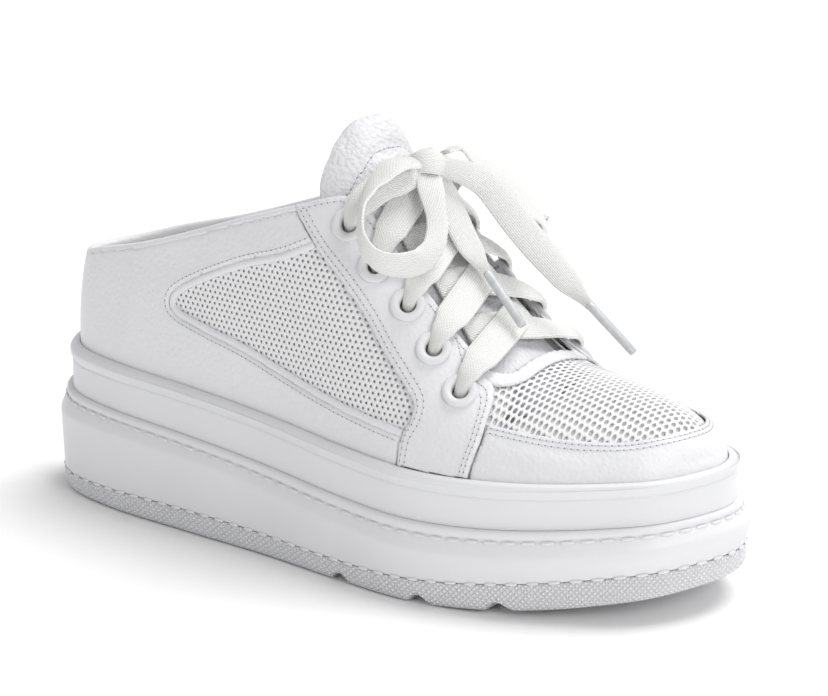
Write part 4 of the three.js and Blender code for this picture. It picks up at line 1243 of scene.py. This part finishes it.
# Mesh.
# Warp-knitted polyester mesh with six-sided holes fills the windows, over the lining, and makes the vamp,
# alone behind the throat's edge, where its holes look dark. Both are caught in the seams of the leather.
mesh_tree, mesh_sockets, mesh_in, mesh_out = new_piece_tree("six-sided mesh", [("Hole", 0.65)])
nodes = mesh_tree.nodes
cells = nodes.new("GeometryNodeDualMesh")
rim = nodes.new("GeometryNodeExtrudeMesh")
rim.inputs["Offset Scale"].default_value = 0
rim.inputs["Individual"].default_value = True
shrink = nodes.new("GeometryNodeScaleElements")
open_up = nodes.new("GeometryNodeDeleteGeometry")
open_up.domain = "FACE"
weld = nodes.new("GeometryNodeMergeByDistance")
weld.inputs["Distance"].default_value = 1e-6
paint = nodes.new("GeometryNodeSetMaterial")
for start, end in (
    (mesh_in.outputs["Geometry"], cells.inputs[0]),
    (cells.outputs[0], rim.inputs["Mesh"]),
    (rim.outputs["Mesh"], shrink.inputs["Geometry"]),
    (rim.outputs["Top"], shrink.inputs["Selection"]),
    (mesh_in.outputs["Hole"], shrink.inputs["Scale"]),
    (shrink.outputs[0], open_up.inputs["Geometry"]),
    (rim.outputs["Top"], open_up.inputs["Selection"]),
    (open_up.outputs[0], weld.inputs["Geometry"]),
    (weld.outputs[0], paint.inputs["Geometry"]),
    (mesh_in.outputs["Material"], paint.inputs["Material"]),
    (paint.outputs[0], mesh_out.inputs["Geometry"]),
):
    mesh_tree.links.new(start, end)
mesh_cloth = noisy_material("knitted mesh", (0.87, 0.87, 0.88, 1), 0.75, (3000, 2), (0.14, 0.92), 0.10)
MESH_THICK = 0.45
MESH_DEEP = 2.1


LEAST_AREA = 50
SETTLED = 0.5


def settle(targets, axes, sides):
    """The places on the last under points of the side view or of the plan."""
    grid = grid_points[2:].reshape(-1, 3)
    turn_rise = np.stack([grid_turn[2:].ravel(), grid_rise[2:].ravel()], 1)
    half = (turn_rise[:, 0] < 0.5) if sides == "outer" else (turn_rise[:, 0] <= 1)
    grid, turn_rise = grid[half][:, list(axes)], turn_rise[half]
    place = np.empty((len(targets), 2))
    for first in range(0, len(targets), 400):
        here = targets[first:first + 400]
        nearest = ((here[:, None] - grid[None, ::3]) ** 2).sum(-1).argmin(1)
        place[first:first + 400] = turn_rise[::3][nearest]
    step = 1e-4
    for _ in range(8):
        turn, rise = place[:, 0], place[:, 1]
        here = last_point(turn, rise)[:, list(axes)]
        by_turn = (last_point(turn + step, rise)[:, list(axes)] - here) / step
        by_rise = (here - last_point(turn, rise - step)[:, list(axes)]) / step
        miss = targets - here
        area = by_turn[:, 0] * by_rise[:, 1] - by_rise[:, 0] * by_turn[:, 1]
        area = np.where(np.abs(area) < LEAST_AREA, np.copysign(LEAST_AREA, area), area)
        turn_move = miss[:, 0] * by_rise[:, 1] - miss[:, 1] * by_rise[:, 0]
        rise_move = miss[:, 1] * by_turn[:, 0] - miss[:, 0] * by_turn[:, 1]
        place = place + np.clip(np.stack([turn_move, rise_move], 1) / area[:, None], -0.02, 0.02)
        place[:, 1] = np.clip(place[:, 1], 0.002, 1)
    return place


def mesh_cloth_piece(name, corner, size, pitch, axes, sides, keep, hole, mirrored=False):
    """A piece of mesh: rows of points staggered over the pattern, laid on the last and opened into cells."""
    step_x, step_y = pitch
    columns, rows = int(size[0] / step_x), int(size[1] / step_y)
    column, row = np.meshgrid(np.arange(columns), np.arange(rows))
    staggered = corner[0] + (column + 0.5 * (row % 2)) * step_x
    flat = np.stack([staggered, corner[1] + row * step_y], -1).reshape(-1, 2)
    place = settle(flat, axes, sides)
    points = last_point(place[:, 0], place[:, 1])
    good = np.all([check(points) * sign > limit for check, sign, limit in keep], axis=0)
    good &= np.linalg.norm(points[:, list(axes)] - flat, axis=1) < SETTLED
    if mirrored:
        place[:, 0] = 1 - place[:, 0]
    where = on_last(place[:, 0], place[:, 1], np.full(len(place), -MESH_DEEP))
    faces = []
    for r in range(rows - 1):
        for c in range(columns - 1):
            a, b = r * columns + c, r * columns + c + 1
            d, e = a + columns, b + columns
            faces += [(a, b, d), (b, e, d)] if r % 2 == 0 else [(a, b, e), (a, e, d)]
    faces = [face for face in faces if good[list(face)].all()]
    if (axes == (0, 1)) == mirrored:
        faces = [face[::-1] for face in faces]
    piece = new_piece(name, where, faces)
    edit_mesh(piece, drop_loose)
    knit = piece.modifiers.new("mesh", "NODES")
    knit.node_group = mesh_tree
    knit[mesh_sockets["Hole"]] = hole
    knit[mesh_sockets["Material"]] = mesh_cloth
    body = piece.modifiers.new("thickness", "SOLIDIFY")
    body.thickness = MESH_THICK * MM
    body.offset = 0
    keep_modified(piece)
    piece.data.polygons.foreach_set("use_smooth", [True] * len(piece.data.polygons))
    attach(piece, "root")
    return piece


window_keep = [(in_window, 1, -3.0), (behind_rear, 1, -3.0)]
for side, mirrored in (("outer", False), ("inner", True)):
    mesh_cloth_piece(
        f"mesh_{side}", (-66.0, 46.0), (120.0, 62.0), (2.2, 1.75), (0, 2), "outer", window_keep,
        hole=0.43, mirrored=mirrored,
    )
mesh_cloth_piece(
    "mesh_vamp", (60.0, -46.0), (66.0, 100.0), (1.85, 2.7), (0, 1), "both",
    [(in_throat, -1, 2.0), (ahead_front, 1, -3.0), (under_toe_edge, -1, -6.0)], hole=0.62,
)
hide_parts("upper")

# The leather is sewn with a white lockstitch of just under 2 mm, in two rows where the load is.
thread = noisy_material("white thread", (0.70, 0.70, 0.72, 1), 0.6, (4000, 2), (0.2, 0.88), 0.05)
in_eyestay = [
    (behind_rear, -1, 1.2), (ahead_front, -1, 1.2), (in_throat, -1, 1.2), (over_rim, 1, 0.4),
    (above_collar, -1, 1.2), (away_from_eyelets, 1, 2.4),
]
in_quarter = [(behind_rear, 1, 1.0), (over_rim, 1, 0.4)]
ON_EYESTAY, ON_QUARTER = 0.02, -0.58
STITCH = (1.95, 1.5, 0.42, 0.5)
rows = []
for measure, level, offset, keep in (
    (behind_rear, -1.5, ON_EYESTAY, in_eyestay), (behind_rear, -3.3, ON_EYESTAY, in_eyestay),
    (ahead_front, -1.5, ON_EYESTAY, in_eyestay), (ahead_front, -2.8, ON_EYESTAY, in_eyestay),
    (in_throat, -1.7, ON_EYESTAY, in_eyestay), (above_collar, -1.8, ON_EYESTAY, in_eyestay),
    (in_window, -1.5, ON_QUARTER, in_quarter),
    (under_toe_edge, 1.0, ON_QUARTER, [(ahead_front, 1, 1.0)]),
    (under_toe_edge, 2.2, ON_QUARTER, [(ahead_front, 1, 1.0)]),
):
    rows += seam_paths(measure, level, offset, keep)
lay_dashes("stitching", rows, STITCH, thread)

# Between two stitches the needle leaves a small dimple, laid here as a small dark bead of painted shade.
needle_hole_shade = noisy_material("needle hole painted shade", (0.24, 0.24, 0.26, 1), 0.9, (3000, 2), (0.5, 0.75), 0.05)
HOLE_SHADE = (1.95, 0.5, 0.5, 0.12)
lay_dashes("needle_hole_shade_dashes", rows, HOLE_SHADE, needle_hole_shade, 0.975)

# Tongue.
# A padded tongue of pebbled leather over thin foam, bound by a slanted row of stitches below its top. It
# is sewn to the vamp in front and stands clear of the throat, pressed down by the lace.
pebbled_leather = finished(
    "pebbled leather", LEATHER_WHITE, leather_group, 0.45, LEATHER_GLOSS, Pebble=820.0, Creases=0.25
)[0]
tongue_top = ((-0.60, 0.2160), (-0.545, 0.2190), (-0.495, 0.2230), (-0.42, 0.2295), (-0.367, 0.2335),
              (-0.24, 0.2385), (-0.045, 0.2425), (0.07, 0.2445),
              (0.20, 0.2455), (0.35, 0.2475), (0.55, 0.2520))
tongue_half = ((0, 0.22), (0.01, 0.31), (0.03, 0.39), (0.06, 0.455), (0.10, 0.505), (0.17, 0.545),
               (0.30, 0.54), (0.70, 0.50), (0.88, 0.45), (1, 0.38))
tongue_plump = ((0, 0.45), (0.008, 0.75), (0.03, 0.95), (0.06, 1.0), (0.25, 1.0), (0.45, 0.8), (0.9, 0.8),
                (1, 0.6))
TONGUE_FOOT = 0.38
TONGUE_TOP = -4.5
TONGUE_THICK = 3.4
rows = 110
down = np.linspace(0, 1, rows) ** 1.5
half = evened(np.interp(down, *np.array(tongue_half).T))
plump = evened(np.interp(down, *np.array(tongue_plump).T))
around = 64
across, through = flat_round(around, 0.6, 0.75)
SEAM_DOWN = 0.10
SEAM_SLANT = 0.045
seam_down = SEAM_DOWN - SEAM_SLANT * across
channel = 1.0 * np.exp(-(((down[:, None] - seam_down[None, :]) / 0.014) ** 2))
free_top = np.clip((0.32 - down) / 0.2, 0, 1)
place_across = half[:, None] * across[None, :]
top_turn = np.interp(place_across, *np.array(tongue_top).T)
walk_turn = top_turn + (TONGUE_FOOT - top_turn) * down[:, None]
tongue_lean = ((-0.6, 0), (-0.5, 0), (-0.37, -1.0), (-0.24, -1.6), (-0.045, 0.2), (0.07, 2.4),
               (0.20, 3.0), (0.35, 2.3), (0.55, 1.2))
lean_over = np.interp(place_across, *np.array(tongue_lean).T) * np.clip((0.14 - down) / 0.12, 0, 1)[:, None]
swell = 1.1 * free_top[:, None] * (1 - across[None, :] ** 2)
wrinkle = 0.22 * np.sin(9 * place_across + 30 * down[:, None]) * free_top[:, None]
depth = (
    TONGUE_TOP - TONGUE_THICK / 2 + lean_over
    + TONGUE_THICK / 2 * plump[:, None] * through[None, :]
    + (swell + wrinkle - channel) * np.maximum(through[None, :], 0)
)
turn_grid = np.where(place_across < 0, walk_turn, 1 - walk_turn)
tongue_points = on_last(turn_grid, 1 - np.abs(place_across), depth)
for _ in range(6):
    bridge = np.abs(place_across) < 0.05
    eased = (np.roll(tongue_points, 1, 1) + 2 * tongue_points + np.roll(tongue_points, -1, 1)) / 4
    tongue_points = np.where(bridge[..., None], eased, tongue_points)
tongue_faces = ring_faces(rows, around) + cap_faces(0, rows - 1, around)
tongue = new_piece("tongue_pad", tongue_points.reshape(-1, 3), tongue_faces)
edit_mesh(tongue, turn_outward)
tongue.data.materials.append(pebbled_leather)
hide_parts("tongue")
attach(tongue, "root")
top_side = [j for j in range(around) if through[j] > 0.35]
seam_row = [int(np.argmin(np.abs(down - seam_down[j]))) for j in top_side]
seam_path = tongue_points[seam_row, top_side]
seam_facing = last_normal(turn_grid[seam_row, top_side], 1 - np.abs(place_across[seam_row, top_side]))
tongue_seam = [(seam_path, seam_facing, False)]
lay_dashes("tongue_stitching", tongue_seam, (2.1, 1.6, 0.45, 0.5), thread)
# The dark beads between the tongue's stitches are painted shade for the dimples that the needle leaves.
lay_dashes("tongue_hole_shade_dashes", tongue_seam, (2.1, 0.8, 0.55, 0.2), needle_hole_shade, 1.05)

# Eyelets.
# Five moulded white rings stand on each side of the throat, pressed through the leather and the lining.
eyelet_plastic, tree, surface, places = finished(
    "eyelet plastic", (0.78, 0.78, 0.79, 1), mould_group, 0.02, Grain=900.0
)
surface.inputs["Coat Weight"].default_value = 0.25
eyelet_profile = [
    (2.5, -3.6), (3.35, -3.6), (3.4, -0.4), (5.2, -0.35), (5.42, 0.15), (5.42, 0.75), (5.15, 1.15),
    (4.6, 1.42), (3.9, 1.45), (3.3, 1.25), (2.85, 0.85), (2.58, 0.3), (2.5, -0.6),
]
around = 40
angle = circle(around)[:, None]
for side in ("outer", "inner"):
    for number, (turn, rise) in enumerate(eyelet_places, 1):
        turn = turn if side == "outer" else 1 - turn
        middle = on_last(turn, rise, 0.0)
        up = last_normal(turn, rise)
        one = unit(np.cross(up, (0.3, 1.0, 0.2)))
        two = np.cross(up, one)
        rings = [
            middle + up * height + (one * np.cos(angle) + two * np.sin(angle)) * radius
            for radius, height in eyelet_profile
        ]
        faces = ring_faces(len(rings), around, True)
        ring = new_piece(f"eyelet_ring_{side}_{number}", np.vstack(rings), faces)
        ring.data.materials.append(eyelet_plastic)
        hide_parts(f"eyelet_{side}_{number}")
        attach(ring, "root")

# Lacing.
# The lace comes up out of each ring, folded narrow in the bore, opens flat over the throat and slips
# under the eyestay on the other side one ring higher. The near stretches lie over the far ones.
rise_out = [(1.00, -4.6), (0.995, -1.4), (0.96, 1.2), (0.89, 2.3), (0.80, 2.6)]
cross_over = [*rise_out, (0.70, 2.1), (0.55, 1.0), (0.38, 0.1), (0.20, -0.5), (0.00, -1.0), (-0.25, -1.6),
              (-0.45, -2.4), (-0.62, -3.0)]
cross_under = [*rise_out, (0.70, 2.0), (0.55, 0.7), (0.38, -0.9), (0.20, -2.2), (0.00, -2.7), (-0.25, -2.7),
               (-0.45, -2.8), (-0.62, -3.1)]
SWAY = 4.0


def across_last(turn, across, offset):
    return on_last(np.where(across < 0, turn, 1 - turn), 1 - np.abs(across), offset)


def strap(table, start, end, sign):
    """Points and face directions of a stretch of lace from one ring to the place where it slips under."""
    share = (1 - np.array([across for across, _ in table])) / 2
    over = np.array([offset for _, offset in table])
    first = last_point(start[0] if sign < 0 else 1 - start[0], start[1])
    last = last_point(1 - end[0] if sign < 0 else end[0], end[1])
    flat = first[:2] + (last[:2] - first[:2]) * share[:, None]
    flat[:, 0] += SWAY * np.sin(pi * share)
    place = settle(flat, (0, 1), "both")
    return on_last(place[:, 0], place[:, 1], over), last_normal(place[:, 0], place[:, 1])


for number in range(1, 5):
    stretches = []
    for table, sign in ((cross_over, -1), (cross_under, 1)):
        points, facing = strap(table, eyelet_places[number], eyelet_places[number - 1], sign)
        band, _, _ = lace_band(
            f"strap_{number}", points, facing, 90,
            wide=(0.42, 0.44, 0.76, 1.06, 1.08, 1.08, 1.08, 1.08, 1.05, 1.05),
            thick=(1.9, 1.5, 1.1, 1, 1, 1, 1, 1), cup=(1.6, 1.3, 0.8, 0.45, 0.4, 0.4, 0.4),
        )
        stretches.append(band)
    crossing = join_pieces(f"lace_crossing_{number}_cloth", stretches)
    crossing.data.materials.append(lace_cloth)
    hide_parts(f"lace_crossing_{number}")
    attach(crossing, "root")
for side, sign in (("outer", -1), ("inner", 1)):
    turn, rise = eyelet_places[0]
    table = [
        (0, 1.02, -4.6), (0, 1.0, -1.4), (0.03, 0.96, 1.8), (0.10, 0.88, 3.9), (0.22, 0.76, 5.0),
        (0.42, 0.56, 5.4), (0.62, 0.40, 5.4),
    ]
    ahead, share, over = np.array(table).T
    across = sign * (1 - rise) * share
    at_turn = turn + ahead * 0.018
    points = across_last(at_turn, across, over)
    facing = last_normal(np.where(across < 0, at_turn, 1 - at_turn), 1 - np.abs(across))
    points = np.vstack([points, knot_middle + (0.2, sign * 4.6, -0.6)])
    facing = np.vstack([facing, facing[-1]])
    band, _, _ = lace_band(
        f"lace_top_{side}_cloth", points, facing, 70, wide=(0.42, 0.5, 0.8, 1, 1, 1, 0.9, 0.7),
        thick=(1.9, 1.4, 1, 1, 1, 1.2), cup=(1.6, 1.0, 0.5, 0.4, 0.6),
    )
    band.data.materials.append(lace_cloth)
    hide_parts(f"lace_top_{side}")
    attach(band, "root")

# Insole.
# A foam footbed faced with pale brushed cloth, dropped in after the last is pulled.
BED = FOOT_INSET + 3.9
bed_rows = rows_on([
    (BED, "ledge", 0.3), (BED, "ledge", 2.6), (BED + 0.3, "ledge", 3.6), (BED + 1.2, "ledge", 4.2),
    (BED + 3.0, "ledge", 4.3),
])
footbed = sole_stack("footbed", bed_rows, 3, 240)
footbed.data.materials.append(lining_cloth)
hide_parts("insole")
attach(footbed, "root")

# Studio.
# A plain pale floor that curves up far behind, lit softly from above and a little from behind, so the
# near side of the white shoe stays in half shade. None of it is part of the shoe.
floor_rows = [(-1.6, 0.0), (0.9, 0.0), (1.5, 0.05), (1.9, 0.25), (2.1, 0.7), (2.15, 2.2)]
sweep_rows = smooth_route([(0, reach * 1000, rise * 1000) for reach, rise in floor_rows], 80)
turned = Matrix.Rotation(camera_turn, 3, "Z")
FLOOR_HALF = 2600.0
floor_points = [
    turned @ Vector((side, reach, max(rise, 0.0)))
    for _, reach, rise in sweep_rows
    for side in (-FLOOR_HALF, FLOOR_HALF)
]
floor_faces = [(2 * i, 2 * i + 1, 2 * i + 3, 2 * i + 2) for i in range(len(sweep_rows) - 1)]
floor = new_piece("floor", floor_points, floor_faces)
floor_paint, tree, surface = new_material("studio floor", (0.97, 0.97, 0.97, 1), 0.7)
surface.inputs["Specular IOR Level"].default_value = 0.1
floor.data.materials.append(floor_paint)

sun_data = bpy.data.lights.new("overhead", "SUN")
sun_data.angle = radians(38)
sun_data.energy = 2.05
sun = new_object("overhead", sun_data)
sun.rotation_euler = Vector((0.18, 0.42, 1.0)).to_track_quat("Z", "Y").to_euler()
front_data = bpy.data.lights.new("front_fill", "AREA")
front_data.size = 0.5
front_data.energy = 6
front = new_object("front_fill", front_data)
front.location = (1.3, -0.6, 0.7)
front.rotation_euler = front.location.to_track_quat("Z", "Y").to_euler()
world = bpy.data.worlds.new("studio")
world.use_nodes = True
world.node_tree.nodes["Background"].inputs["Color"].default_value = (1, 1, 1, 1)
world.node_tree.nodes["Background"].inputs["Strength"].default_value = 0.49
bpy.context.scene.world = world
bpy.context.scene.view_settings.view_transform = "Standard"
